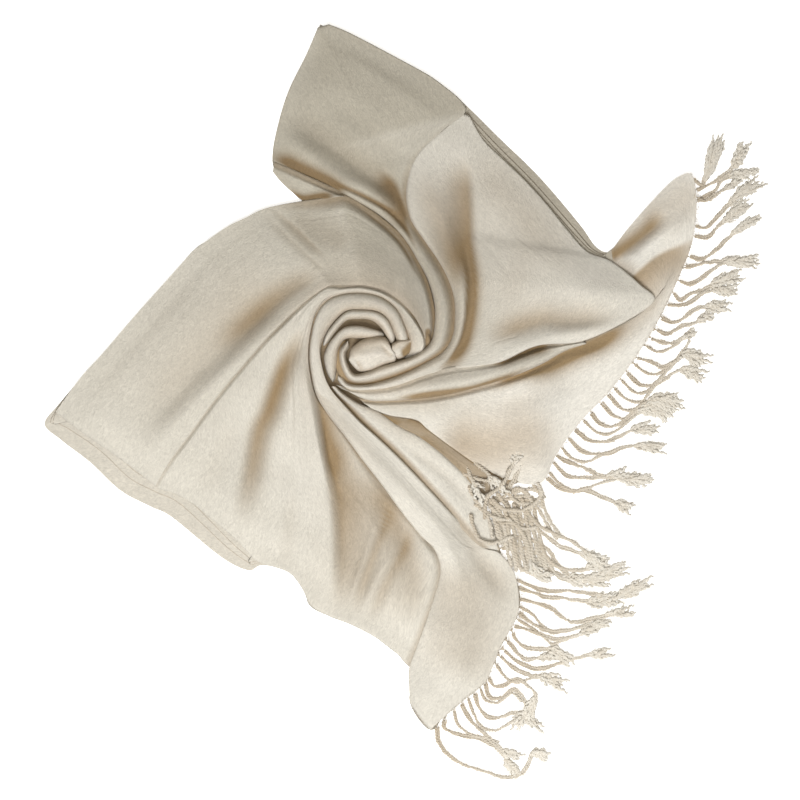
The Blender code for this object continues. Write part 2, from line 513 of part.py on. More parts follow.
def fringe(name, edge, cords, material, collection):
    """A strip along a woven edge with a four-sided cord grown from its outer face at each root."""
    path = smooth_path(edge, SAMPLES)
    length = np.concatenate(((0.0,), np.cumsum(np.linalg.norm(np.diff(path, axis=0), axis=1))))
    roots = []
    for cord in cords:
        roots.append(length[np.linalg.norm(path - np.array(cord[:2]), axis=1).argmin()])
    order = np.argsort(roots)
    stops = [0.0]
    bearers = []
    for index in order:
        low = max(roots[index] - 0.5 * CORD_WIDTH, stops[-1] + 1.0)
        stops += [low, low + CORD_WIDTH]
        bearers.append((len(stops) - 2, cords[index]))
    stops = np.array((*stops, max(length[-1], stops[-1] + 1.0)))
    on_edge = np.stack((np.interp(stops, length, path[:, 0]), np.interp(stops, length, path[:, 1])), axis=1)
    heading = np.gradient(on_edge, axis=0)
    outward = np.stack((-heading[:, 1], heading[:, 0]), axis=1)
    outward = outward / np.linalg.norm(outward, axis=1)[:, None]
    near = on_edge + outward * STRIP_GAP
    far = on_edge + outward * (STRIP_GAP + STRIP_WIDTH)
    shape = bmesh.new()

    def ring(points, heights):
        return [shape.verts.new((x * MM, y * MM, z * MM)) for (x, y), z in zip(points, heights)]

    strip = []
    for a, b in zip(near, far):
        strip.append(ring((a, b, b, a), (STRIP_FOOT, STRIP_FOOT, STRIP_TOP, STRIP_TOP)))
    bearing = {place for place, _ in bearers}
    for place, (low, high) in enumerate(zip(strip[:-1], strip[1:])):
        for side in range(4):
            if side == 1 and place in bearing:
                continue
            after = (side + 1) % 4
            shape.faces.new((low[side], low[after], high[after], high[side]))
    shape.faces.new(strip[0][::-1])
    shape.faces.new(strip[-1])
    for place, cord in bearers:
        grow_cord(shape, ring, strip[place], strip[place + 1], far[place : place + 2], cord)
    bmesh.ops.recalc_face_normals(shape, faces=shape.faces)
    mesh = bpy.data.meshes.new(name)
    shape.to_mesh(mesh)
    shape.free()
    return new_object(name, mesh, material, collection)


def grow_cord(shape, ring, low, high, roots, cord):
    """A cord of square section from a strip's outer face, through its two bends, to a wider frayed tip."""
    start = roots.mean(axis=0)
    bends = np.array(cord[2:8], dtype=float).reshape(3, 2)
    path = smooth_path(np.vstack((start, bends)), CORD_SPAN)
    heading = np.gradient(path, axis=0)
    across = np.stack((-heading[:, 1], heading[:, 0]), axis=1)
    across = across / np.linalg.norm(across, axis=1)[:, None]
    if np.dot(across[1], roots[1] - roots[0]) < 0:
        across = -across
    share = np.linspace(0.0, 1.0, len(path))
    half = 0.5 * np.interp(share, (0.0, TUFT_START, 1.0), (CORD_WIDTH, CORD_WIDTH, TUFT_WIDTH))
    lift = cord[8] * np.interp(share, RAISED_SPAN, (0.0, 1.0))
    before = [low[1], high[1], high[2], low[2]]
    for point, side, wide, up in zip(path[1:], across[1:], half[1:], lift[1:]):
        corners = (point - side * wide, point + side * wide, point + side * wide, point - side * wide)
        now = ring(corners, (CORD_FOOT + up, CORD_FOOT + up, CORD_TOP + up, CORD_TOP + up))
        for index in range(4):
            after = (index + 1) % 4
            shape.faces.new((before[index], before[after], now[after], now[index]))
        before = now
    shape.faces.new(before)


def cloth_material(name, colour, roughness):
    material = bpy.data.materials.new(name)
    material.use_nodes = True
    shader = material.node_tree.nodes["Principled BSDF"]
    shader.inputs["Base Color"].default_value = (*colour, 1.0)
    shader.inputs["Roughness"].default_value = roughness
    shader.inputs["Metallic"].default_value = 0.0
    return material


def main():
    for thing in list(bpy.data.objects):
        bpy.data.objects.remove(thing)
    parts = bpy.data.collections.new("stole")
    bpy.context.scene.collection.children.link(parts)
    cloth = cloth_material("cream cloth", (0.70, 0.65, 0.56), 0.55)
    twist = cloth_material("twisted cords", (0.78, 0.74, 0.66), 0.75)
    hidden_layers(cloth, parts)
    for name, *terms in STRETCHES:
        sheet(name, stretch_points(name, *terms), cloth, parts)
    fringe("upper_fringe", UPPER_EDGE, UPPER_CORDS, twist, parts)
    fringe("lower_fringe", LOWER_EDGE, LOWER_CORDS, twist, parts)


main()
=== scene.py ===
"""A cream fringed stole, laid flat and turned into a rosette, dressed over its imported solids.

The cloth is one woven length, so each section below is a stretch of it that shows, in the order in which it
was laid: the folded layers at the bottom, the panels and ends on them, the coils of the rosette, and the two
fringes. Plan sizes are in millimetres from the middle of the heap, X to the right and Y up the picture. A
stretch is a grid of points: smooth lines run from its outer end to the rosette, straight rules cross from
line to line, and the height over each point is the top of the layers below it, plus the stretch's own lift,
less the drop of its rolled or tucked sides, plus its folds.
"""

import bpy
import numpy as np
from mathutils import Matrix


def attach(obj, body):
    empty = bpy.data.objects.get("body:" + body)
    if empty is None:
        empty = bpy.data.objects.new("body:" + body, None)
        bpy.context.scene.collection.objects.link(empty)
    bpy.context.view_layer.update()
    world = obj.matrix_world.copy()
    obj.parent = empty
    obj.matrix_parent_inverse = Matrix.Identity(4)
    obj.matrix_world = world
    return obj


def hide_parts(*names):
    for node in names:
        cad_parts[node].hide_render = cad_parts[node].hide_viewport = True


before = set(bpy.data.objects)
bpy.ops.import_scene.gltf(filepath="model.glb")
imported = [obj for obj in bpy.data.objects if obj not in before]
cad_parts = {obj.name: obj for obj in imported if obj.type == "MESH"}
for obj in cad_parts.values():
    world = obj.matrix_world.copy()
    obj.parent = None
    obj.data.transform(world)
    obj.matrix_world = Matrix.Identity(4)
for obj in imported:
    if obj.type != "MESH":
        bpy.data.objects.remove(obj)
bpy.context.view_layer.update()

# The folded layers. All the cloth that the top stretches hide lies under them, and shows as a stack of soft
# folded edges along the outline and as dark hollows between the coils; painted shade darkens those hollows
# and the lines where one layer meets the next. It is made as one sheet that steps in over each fold and then
# climbs to a mound with a well in the rosette's middle.
MM = 0.001
ROSETTE = np.array((-27.0, 52.0))
CLOTH = 0.6
LAYER_GAP = 1.2
LAYER_INSETS = (0.0, 2.0, 3.1)
EDGE_ROUND = 0.6
EDGE_INSET = 0.6
EDGE_RINGS = 7
FIRST_EDGE_TURN = -90.0
LATER_EDGE_TURN = -15.0
MEET_BACK = 1.5
LEAST_STEP = 0.8
OUTLINE_SPANS = 6
FLOOR_CLEAR = 0.02
BED = 3.6
MOUND_HEIGHT = 15.0
MOUND_RADIUS = 105.0
MOUND_RINGS = 26
MOUND_START = 0.04
MOUND_CLEAR = 0.05
WELL_DEPTH = 5.0
WELL_RADIUS = 42.0
# Painted light and shade: the cloth is painted lighter where its heading runs towards this light direction
# and darker where it runs away, painted lighter in the rosette, and near a fringed end its heading turns to a
# set one.
PAINTED_LIGHT_FROM = np.array((-0.5, 0.86))
PAINTED_LIGHT_RADIUS = 70.0
ROSETTE_PAINTED_LIGHT = 2.0
ROSETTE_PAINTED_LIGHT_RADIUS = 60.0
END_LIGHT_HEADING_START = 60.0
END_LIGHT_HEADING_RUN = 81.25
# Painted shade on the hidden layers: tan in the rosette's hollows and along the lines where layers meet.
STACK_SHADE_RADIUS = 90.0
STACK_SHADE_SHARE = 1.5
STACK_SHADE_RANGE = (0.12, 0.9)
MEETING_SHADE = 0.6
# Painted light on the hidden layers: their set heading, shifted over the lower left.
STACK_LIGHT_HEADING = np.array((0.5, -0.5))
LOWER_LEFT_LIGHT_HEADING = np.array((-1.1, 0.9))
LOWER_LEFT_RUN = 400.0
FLECK_TONES = (0.83, 1.13)
CLOUD_TONES = (0.95, 1.03)
OUTLINE = (
    # x, y, step that the layers' insets multiply
    (-80, 376, 0.8), (-55, 366, 0.8), (-29, 353, 0.8), (0, 338, 1.0), (30, 323, 1.5), (60, 301, 2.5),
    (100, 262, 3.5), (140, 223, 4.0), (180, 176, 3.5), (197, 153, 2.0), (212, 150, 0.8), (230, 174, 0.8),
    (251, 197, 0.8), (266, 212, 0.8), (291, 225, 0.8), (296, 193, 0.8), (291, 155, 0.8), (274, 112, 0.8),
    (254, 70, 0.8), (235, 42, 0.8), (209, 7, 0.8), (180, -22, 0.8), (157, -52, 0.8), (145, -79, 0.8),
    (117, -84, 0.8), (84, -100, 0.8), (94, -125, 0.8), (102, -153, 0.8), (116, -176, 0.8), (120, -208, 0.8),
    (100, -250, 0.8), (85, -282, 0.8), (51, -307, 0.8), (31, -331, 0.8), (9, -303, 0.8), (12, -270, 0.8),
    (-12, -248, 0.8), (-40, -228, 0.8), (-68, -218, 0.8), (-91, -206, 0.8), (-98, -184, 0.8),
    (-113, -171, 0.8), (-138, -166, 1.5), (-152, -171, 4.0), (-180, -157, 6.0), (-228, -118, 8.0),
    (-250, -107, 8.0), (-280, -91, 8.0), (-310, -63, 8.0), (-340, -40, 7.0), (-356, -24, 4.0),
    (-341, -3, 0.8), (-300, 44, 0.8), (-240, 110, 0.8), (-208, 149, 0.8), (-185, 164, 0.8),
    (-150, 185, 0.8), (-124, 194, 0.8), (-100, 196, 0.8), (-104, 207, 0.8), (-118, 221, 0.8),
    (-128, 236, 0.8), (-125, 264, 0.8), (-113, 306, 0.8), (-94, 345, 0.8),
)
NOTCH_WAYS = (
    # where the outline is hollow its points go in past this x, y; low and high x, y of the zone's soft edge
    ((185.0, 95.0), (205.0, 130.0), (230.0, 160.0)),
    ((-60.0, 190.0), (-95.0, 205.0), (-110.0, 220.0)),
    ((50.0, -200.0), (-400.0, -240.0), (-399.0, -265.0)),
)


def smooth_path(points, per_span):
    """A cardinal spline through the rows of a table, with per_span samples to each gap between rows."""
    rows = np.array(points, dtype=float)
    padded = np.vstack((2 * rows[:1] - rows[1:2], rows, 2 * rows[-1:] - rows[-2:-1]))
    t = (np.arange(per_span) / per_span)[None, :, None]
    a, b, c, d = (padded[k : len(rows) - 1 + k, None] for k in range(4))
    spans = 2 * b + (c - a) * t + (2 * a - 5 * b + 4 * c - d) * t**2 + (3 * b - a - 3 * c + d) * t**3
    return np.vstack((0.5 * spans.reshape(-1, rows.shape[1]), rows[-1:]))


def run_along(path):
    """The length run at each point of a path, from 0 at its start."""
    return np.concatenate(((0.0,), np.linalg.norm(np.diff(path, axis=0), axis=1).cumsum()))


def points_at(path, marks, at):
    """Points of a path, between its own points by their marks, where the marks reach the given values."""
    return np.stack([np.interp(at, marks, column) for column in path.T], axis=-1)


def unit(vectors):
    """Vectors of length 1 with the same headings."""
    return vectors / np.maximum(np.linalg.norm(vectors, axis=-1, keepdims=True), 1e-9)


def from_rosette(xy, radius):
    """A bell over the rosette's middle: 1 there, and exp(-1) at the given radius."""
    return np.exp(-(((xy - ROSETTE) ** 2).sum(axis=-1)) / radius**2)


def bed_height(xy):
    """Top of the hidden layers: flat at the edges, and a rounded mound under the rosette."""
    return BED + MOUND_HEIGHT * from_rosette(xy, MOUND_RADIUS)


def connect(tree, made, inputs):
    """Links each input of a node to the socket given for it, or sets it to the value given."""
    for name, given in inputs.items():
        if isinstance(given, bpy.types.NodeSocket):
            tree.links.new(given, made.inputs[name])
        else:
            made.inputs[name].default_value = given
    return made


def node(tree, kind, inputs, **settings):
    """A shader node with its settings and inputs."""
    made = tree.nodes.new("ShaderNode" + kind)
    for name, value in settings.items():
        setattr(made, name, value)
    return connect(tree, made, inputs)


def noise_to(tree, noise, low, high):
    """A noise, which lies mostly between 0.3 and 0.7, taken to the range from low to high."""
    ranges = {"Value": noise, "From Min": 0.3, "From Max": 0.7, "To Min": low, "To Max": high}
    return node(tree, "MapRange", ranges).outputs[0]


def blank_finish(name):
    """A new material, with its node tree and its shader."""
    material = bpy.data.materials.new(name)
    material.use_nodes = True
    return material, material.node_tree, material.node_tree.nodes["Principled BSDF"]


def grain_group():
    """Fine grain of the cloth, its face raised by brushing: short crinkled flecks along the threads, a twill
    rib, soft clouds.
    """
    group = bpy.data.node_groups.new("cloth grain", "ShaderNodeTree")
    for label in ("Thread Place", "Cloth Place"):
        group.interface.new_socket(label, in_out="INPUT", socket_type="NodeSocketVector")
    for label in ("Height", "Fleck", "Cloud"):
        group.interface.new_socket(label, in_out="OUTPUT", socket_type="NodeSocketFloat")
    places = group.nodes.new("NodeGroupInput").outputs
    thread, place = places["Thread Place"], places["Cloth Place"]
    stretched = node(group, "Mapping", {"Vector": thread, "Scale": (230.0, 430.0, 1.0)}).outputs[0]
    turned = node(group, "Mapping", {"Vector": thread, "Rotation": (0.0, 0.0, 0.72)}).outputs[0]
    flecks = {"Vector": stretched, "Scale": 1.0, "Detail": 4.0, "Roughness": 0.62, "Distortion": 1.4}
    fleck = node(group, "TexNoise", flecks).outputs["Fac"]
    rib = node(group, "TexWave", {"Vector": turned, "Scale": 420.0, "Distortion": 1.2}).outputs["Fac"]
    clouds = {"Vector": place, "Scale": 17.0, "Detail": 3.0, "Roughness": 0.55}
    cloud = node(group, "TexNoise", clouds).outputs["Fac"]
    height = node(group, "Math", {0: rib, 1: 0.22, 2: fleck}, operation="MULTIPLY_ADD").outputs[0]
    connect(group, group.nodes.new("NodeGroupOutput"), {"Height": height, "Fleck": fleck, "Cloud": cloud})
    return group


def cloth_finish(name, cream, shade_tan, painted_shade_tone, painted_light_tone):
    """Cream satin cloth with painted shade and light: painted shade turns the cream to brown where its mask
    is high, and flecks and clouds vary it.

    The painted light mask, -1 where the cloth runs away from a set light direction and 1 towards it, and more
    in the rosette, scales the colour between a painted shade tone and a painted light tone."""
    material, tree, shader = blank_finish(name)
    weave = node(tree, "UVMap", {}, uv_map="weave").outputs["UV"]
    place = node(tree, "TexCoord", {}).outputs["Object"]
    grain = node(tree, "Group", {}, node_tree=grain_group())
    connect(tree, grain, {"Thread Place": weave, "Cloth Place": place})
    # The mask read here is painted shade: it turns the cream to tan in troughs, at the feet of rolled and
    # tucked sides and in the rosette's hollows.
    shade_and_fray = node(tree, "Attribute", {}, attribute_name="shade_and_fray").outputs["Fac"]
    body = node(tree, "Mix", {0: shade_and_fray, 6: (*cream, 1.0), 7: (*shade_tan, 1.0)}, data_type="RGBA").outputs[2]
    # Painted light and shade by the sheet's heading, from the mask made with it.
    painted_light = node(tree, "Attribute", {}, attribute_name="painted_light").outputs["Vector"]
    painted_light_range = {"From Min": (-1.0,) * 3, "From Max": (1.0,) * 3, "To Min": painted_shade_tone, "To Max": painted_light_tone}
    painted_light_range["Vector"] = painted_light
    painted_lit = node(tree, "MapRange", painted_light_range, data_type="FLOAT_VECTOR", clamp=False).outputs["Vector"]
    flecked = noise_to(tree, grain.outputs["Fleck"], *FLECK_TONES)
    clouded = noise_to(tree, grain.outputs["Cloud"], *CLOUD_TONES)
    tone = node(tree, "Math", {0: flecked, 1: clouded}, operation="MULTIPLY").outputs[0]
    body = node(tree, "VectorMath", {0: body, 1: painted_lit}, operation="MULTIPLY").outputs[0]
    toned = node(tree, "VectorMath", {0: body, "Scale": tone}, operation="SCALE").outputs[0]
    ribs = {"Height": grain.outputs["Height"], "Strength": 1.0, "Distance": 0.0006}
    relief = node(tree, "Bump", ribs).outputs["Normal"]
    connect(tree, shader, {
        "Base Color": toned, "Normal": relief, "Roughness": 0.52, "Specular IOR Level": 0.35,
        "Sheen Weight": 0.22, "Sheen Roughness": 0.45, "Sheen Tint": (1.0, 0.96, 0.9, 1.0),
    })
    return material


# Its tan is the colour of painted shade, and its two tones are those of painted shade and painted light.
STOLE_CLOTH = cloth_finish(
    "stole cloth", cream=(0.67, 0.628, 0.548), shade_tan=(0.30, 0.205, 0.105),
    painted_shade_tone=(0.72, 0.715, 0.675), painted_light_tone=(1.035, 1.06, 1.085),
)


def mesh_object(name, verts, faces, masks, material):
    """An object at the origin from vertices in millimetres, faces, and a mask for each vertex by name."""
    mesh = bpy.data.meshes.new(name)
    mesh.from_pydata((verts * MM).tolist(), [], faces.tolist())
    for label, mask in masks.items():
        mesh.attributes.new(label, "FLOAT", "POINT").data.foreach_set("value", mask.ravel())
    mesh.shade_smooth()
    mesh.materials.append(material)
    made = bpy.data.objects.new(name, mesh)
    bpy.context.scene.collection.objects.link(made)
    return made


def cloth_object(name, points, shade_and_fray, painted_light_heading=None, plan_weave=False):
    """A sheet through a grid of points in millimetres, facing up, with its weave laid along its own lengths.

    The weave map's U is the length run along the middle of the sheet and V the width run across each row. Its
    colour carries painted light and shade that follow its heading, which near a fringed end turns to a set
    one:
    the painted light mask is 1 where it runs towards a set light direction, -1 where it runs away, and more
    in the rosette."""
    rows, columns = points.shape[:2]
    number = np.arange(rows * columns).reshape(rows, columns)
    quads = np.stack((number[:-1, :-1], number[1:, :-1], number[1:, 1:], number[:-1, 1:]), axis=-1)
    quads = quads.reshape(-1, 4)
    run, rise = np.diff(points, axis=1), np.diff(points, axis=0)
    if np.cross(rise[:, :-1], run[:-1])[..., 2].sum() < 0:
        quads = quads[:, ::-1]
    plan = points[..., :2]
    heading = unit(np.gradient(plan, axis=0))
    # The painted light mask: the heading against a set light direction, faded out in the rosette, where
    # painted light is added instead.
    if painted_light_heading is not None:
        near_end = np.clip((np.linalg.norm(plan - ROSETTE, axis=-1) - END_LIGHT_HEADING_START) / END_LIGHT_HEADING_RUN, 0.0, 1.0)
        heading = heading + (np.array(painted_light_heading) - heading) * near_end[..., None]
    painted_light = (heading @ PAINTED_LIGHT_FROM) * (1.0 - from_rosette(plan, PAINTED_LIGHT_RADIUS))
    painted_light = painted_light + ROSETTE_PAINTED_LIGHT * from_rosette(plan, ROSETTE_PAINTED_LIGHT_RADIUS)
    made = mesh_object(name, points.reshape(-1, 3), quads, {"shade_and_fray": shade_and_fray, "painted_light": painted_light}, STOLE_CLOTH)
    middle = columns // 2
    across = np.concatenate((np.zeros((rows, 1)), np.linalg.norm(run, axis=-1).cumsum(axis=1)), axis=1)
    across = across - across[:, middle : middle + 1]
    along = np.broadcast_to(run_along(points[:, middle])[:, None], across.shape)
    weave = (plan if plan_weave else np.stack((along, across), axis=-1)).reshape(-1, 2) * MM
    made.data.uv_layers.new(name="weave").data.foreach_set("uv", weave[quads.ravel()].ravel())
    return made


def dress(piece, slot, *nodes):
    """A piece rides the whole stole and stands for its nodes. Its slot is not used."""
    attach(piece, "root")
    if nodes:
        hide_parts(*nodes)


def fold_stack():
    """Rings that follow the outline, round over each folded edge and step in to the next.

    Each layer's edge is a half circle; past the last one the rings shrink evenly to the rosette's middle."""
    path = smooth_path((*OUTLINE, OUTLINE[0]), OUTLINE_SPANS)[:-1]
    outline, step = path[:, :2], path[:, 2:]
    run = np.roll(outline, -1, axis=0) - np.roll(outline, 1, axis=0)
    inward = unit(np.stack((run[:, 1], -run[:, 0]), axis=1))
    rings = []

    def add_ring(inset, level):
        rings.append(np.hstack((outline + inward * inset, np.full_like(step, level + FLOOR_CLEAR))))

    for layer, layer_inset in enumerate(LAYER_INSETS):
        base = layer * LAYER_GAP
        start = EDGE_INSET + step * layer_inset
        if layer:
            add_ring(start - MEET_BACK * np.minimum(step, LEAST_STEP), base)
        start_turn = LATER_EDGE_TURN if layer else FIRST_EDGE_TURN
        for turn in np.radians(np.linspace(start_turn, 90.0, EDGE_RINGS)):
            add_ring(start + EDGE_ROUND * (1.0 - np.cos(turn)), base + EDGE_ROUND * (1.0 + np.sin(turn)))
    edge = rings[-1][:, :2]
    bend = 0.5 * (edge + ROSETTE)
    for via, low, high in np.array(NOTCH_WAYS):
        pull = np.clip((edge - low) / (high - low), 0.0, 1.0).prod(axis=1)
        bend = bend + pull[:, None] * (via - bend)
    for share in np.linspace(MOUND_START, 1.0, MOUND_RINGS):
        plan = (1.0 - share) ** 2 * edge + 2.0 * share * (1.0 - share) * bend + share**2 * ROSETTE
        level = bed_height(plan) + MOUND_CLEAR - WELL_DEPTH * from_rosette(plan, WELL_RADIUS)
        rings.append(np.hstack((plan, level[:, None])))
    grid = np.stack(rings)
    return np.concatenate((grid, grid[:, :1]), axis=1)


stack_points = fold_stack()
stack_plan = stack_points[..., :2]
# Painted shade: tan near the rosette, and on the rings where one layer meets the next.
stack_painted_shade = np.clip(STACK_SHADE_SHARE * from_rosette(stack_plan, STACK_SHADE_RADIUS), *STACK_SHADE_RANGE)
stack_painted_shade[[EDGE_RINGS + 1, 2 * (EDGE_RINGS + 1)]] = MEETING_SHADE
# Painted light on the hidden layers comes from a set heading that changes towards the lower left.
lower_left = np.clip(0.5 - stack_plan.sum(axis=-1, keepdims=True) / LOWER_LEFT_RUN, 0.0, 1.0)
stack_light_heading = lower_left * LOWER_LEFT_LIGHT_HEADING + STACK_LIGHT_HEADING
folded_layers = cloth_object("folded_layers", stack_points, stack_painted_shade, stack_light_heading, True)
dress(folded_layers, "stole_cloth", "hidden_layers")


# The folds. Every stretch has soft ridges and troughs where the cloth was gathered towards the rosette. Each
# is a bell across its path, wider on one side than on the other, and it fades out at both ends. The tint is
# painted shade: it says how far a trough's cloth is painted from cream to tan, more so near the rosette.
FOLD_FADE = 0.3
FOLD_STEP = 2.0
FOLD_SHADE_LEAST = 0.3
FOLD_SHADE_RADIUS = 170.0
FOLD_SHADE_NEAR = 1.6
PATH_SPANS = 8
FOLDS = {
    # height, half width to the left of its path, to the right, painted shade, then x, y of each bend
    "top_panel": (
        (4, 9, 9, 0, -130, 274, -110, 258, -90, 243, -60, 220, -30, 209, -5, 190, 10, 166),
        (-5, 17, 9, 0.4, -124, 296, -90, 268, -63, 249, -30, 224, -5, 203, 6, 190),
        (-4.5, 5, 14, 1.2, -26, 232, -10, 217, -1, 201, 5, 185, 11, 165),
        (-5, 9, 4, 2.4, -136, 246, -116, 238, -99, 229, -80, 219, -62, 209, -48, 202),
        (-3, 2.5, 2.5, 1.2, -80, 222, -60, 214, -30, 200, -5, 184, 9, 165, 20, 142),
        (2.5, 24, 26, 0, -104, 330, -60, 306, -20, 276, 14, 244),
        (-1.8, 9, 12, 0.08, -84, 300, -50, 286, -16, 256, 4, 226),
        (1.6, 7, 10, 0, -70, 352, -20, 322, 30, 286, 44, 270),
    ),
    "right_panel": (
        (4.5, 12, 6, 0, 22, 222, 34, 200, 43, 178, 52, 150, 60, 122, 62, 92, 58, 58, 48, 36),
        (-8.5, 5, 20, 1, 61, 250, 65, 226, 67, 200, 68, 175, 69, 148, 69, 108),
        (-6.5, 9, 3, 1.5, 66, 164, 68, 140, 69, 122, 69, 104, 67, 80, 61, 57, 50, 40, 38, 30, 28, 25),
        (0, 60, 60, 0.16, 40, 260, 80, 200, 110, 140, 110, 60),
        (0, 14, 14, 0.4, 18, 240, 28, 204, 42, 164, 54, 124, 58, 80),
        (0, 24, 20, 0.3, 60, 250, 100, 214, 140, 170, 180, 120),
        (2.5, 26, 26, 0, 90, 226, 112, 170, 124, 120),
        (-2.2, 12, 14, 0.1, 128, 206, 126, 160, 112, 110, 104, 78),
        (-4, 15, 8, 0.85, 80, 52, 100, 65, 140, 79, 165, 79, 200, 82, 226, 92),
        (3.5, 8, 9, 0, 84, 38, 104, 44, 140, 60, 170, 66, 202, 73, 232, 88),
        (3, 20, 16, 0, 130, 158, 165, 128, 200, 108, 236, 104),
    ),
    "left_sweep": (
        (4.5, 13, 8, 0, -262, -74, -211, -10, -171, 30, -129, 70, -84, 110),
        (-5, 20, 12, 0.2, -276, -52, -238, -10, -200, 30, -150, 70, -112, 108, -80, 124),
        (-4, 14, 9, 0.55, -190, 44, -150, 78, -118, 104, -92, 118, -60, 124),
        (0, 34, 34, 0.28, -270, -30, -220, 40, -170, 90, -110, 140),
        (2.5, 26, 26, 0, -310, -6, -250, 64, -190, 124),
        (-1.6, 12, 14, 0.08, -322, -12, -280, 36, -226, 96, -190, 140),
        (4.5, 20, 18, 0, -110, 146, -60, 142, -15, 126, 18, 94),
        (-1.5, 1.2, 5, 0.15, -140, 192, -122, 174, -108, 160, -94, 146, -80, 134, -66, 122),
        (-2.2, 2, 2.5, 0.9, -62, 203, -46, 197, -29, 183, -14, 171, 1, 155, 12, 136, 21, 114),
        (0, 18, 18, 0.22, -120, 190, -94, 172, -66, 162, -36, 154),
        (-1.8, 1.2, 6, 0.3, -132, 197, -112, 179, -98, 166, -84, 152, -70, 139),
        (-4, 4, 3, 1.8, 26, 74, 28, 65, 27, 55, 22, 48),
    ),
    "fan": (
        (-8, 12, 8, 1, -88, 86, -97, 68, -108, 48, -117, 30, -131, -10, -141, -32, -150, -80, -162, -132),
        (2.5, 26, 22, 0, -216, -76, -176, -16, -140, 36),
        (0, 50, 50, 0.55, -10, -50, -12, -130, -20, -240),
        (-1.6, 10, 14, 0.1, -206, -100, -180, -56, -160, -16),
        (6, 4.5, 16, 0, -97, 60, -95, 30, -90, 0, -85, -30, -79, -62, -75, -84),
        (3.5, 6, 16, 0, -86, -36, -80, -62, -74, -95, -71, -130, -73, -176, -76, -200),
        (2.5, 14, 14, 0, -116, -60, -118, -110, -124, -156),
        (0, 9, 2.5, 0.4, -86, 20, -79, -28, -74, -58, -69, -88, -65, -118, -64, -148, -66, -182, -71, -216),
        (-1.8, 7, 7, 0.12, -106, -88, -110, -130, -116, -178),
        (-8, 20, 4.5, 0.8, -88, 36, -80, 0, -74, -30, -68, -62, -63, -86),
        (-5, 24, 6, 0.75, -74, -34, -67, -62, -60, -95, -57, -130, -57, -176, -64, -222),
        (-3.5, 11, 15, 0.5, -34, -62, -16, -96, -2, -130, 15, -180, 8, -236),
        (3.4, 3, 4, 0, -14, -88, -22, -118, -32, -150, -46, -190, -54, -214),
        (-3, 5, 3, 0.5, -6, -96, -15, -124, -26, -154, -40, -194, -48, -218),
        (3.4, 3, 4, 0, 6, -112, -4, -144, -22, -178, -42, -222),
        (-3, 7, 3, 0.6, 14, -116, 4, -148, -14, -182, -34, -226),
        (1.6, 4, 9, 0, 8, -118, 4, -150, -6, -190, -16, -230),
    ),
    "lower_end": (
        (4.5, 9, 13, 0, -86, 16, -64, -18, -37, -50, -8, -80, 20, -110, 40, -132, 60, -176, 78, -222),
        (0, 40, 40, 0.85, 60, -150, 66, -220, 50, -290),
        (-4.5, 11, 9, 0.4, 48, -104, 66, -130, 82, -160, 99, -181, 114, -206),
        (-1.6, 10, 14, 0.1, 24, -140, 38, -172, 40, -210, 22, -252),
        (2.2, 14, 14, 0, 70, -196, 58, -244, 44, -296),
        (-1.4, 9, 9, 0.06, 92, -206, 82, -244, 66, -290),
    ),
    "upper_end": (
        (3, 24, 30, 0, 48, -20, 110, -4, 172, 24),
        (4.5, 9, 4.5, 0, 208, 122, 226, 136, 250, 156, 274, 172, 296, 192),
        (-3, 3, 30, 2.3, 190, 86, 212, 106, 232, 121, 258, 142, 285, 154, 310, 166),
        (-4.5, 11, 7, 2.6, 192, 132, 208, 141, 226, 153, 244, 167, 257, 180, 266, 192),
        (0, 34, 34, 0.75, 20, -36, 60, -48, 110, -44, 170, -18),
        (0, 22, 22, 0.9, 236, 176, 254, 186, 272, 194, 292, 204, 310, 212),
        (-2, 9, 6, 1.6, 74, 10, 98, 17, 120, 26, 145, 36, 175, 48, 206, 62, 232, 80),
        (0, 6, 13, 1.3, 112, 18, 145, 31, 175, 45, 206, 62, 240, 90),
        (-3, 12, 10, 0.5, 176, 42, 214, 62, 246, 88, 264, 118),
        (-1.5, 8, 9, 0.1, 84, -12, 140, 6, 196, 26),
    ),
    "inner_roll": (
        (-1.5, 5, 5, 0.1, -4, -40, 40, -70, 78, -110),
    ),
    "lower_roll": (
        (-3, 6, 6, 2.2, 84, 36, 104, 42, 124, 49, 146, 54, 158, 57),
        (-0.5, 4, 6, 1.6, -16, 0, 14, 3, 40, 6, 70, 10, 96, 18, 118, 27, 136, 38),
        (3.5, 7, 7, 0, -20, 4, 30, 14, 76, 22, 124, 36, 170, 53),
    ),
    "bud": (
        (-2.5, 4, 1.5, 0.5, -45, 42, -41, 35, -37, 29, -33, 23),
        (2, 5, 5, 0, -48, 47, -36, 44, -20, 46, -8, 47),
        (-1.5, 2, 5, 0.5, -22, 60, -16, 52, -9, 45, -2, 41),
    ),
    "petal": (
        (-3, 7, 7, 1.6, 0, 42, 6, 45, 12, 51, 18, 58),
    ),
    "top_tuck": (
        (-1.5, 5, 8, 1.8, -116, 212, -100, 201, -82, 202, -60, 205),
    ),
}


def resample(path, spacing):
    """Points at an even spacing along a path, ends kept."""
    length = run_along(path)
    return points_at(path, length, np.linspace(0.0, length[-1], max(int(length[-1] / spacing), 2) + 1))


def table_path(numbers):
    """A smooth path through the x, y of each bend, as a table's row gives them one after another."""
    return smooth_path(np.array(numbers, dtype=float).reshape(-1, 2), PATH_SPANS)


def smooth_step(share):
    """From 0 to 1 with a level start and end: three times the square less twice the cube."""
    return share * share * (3.0 - 2.0 * share)


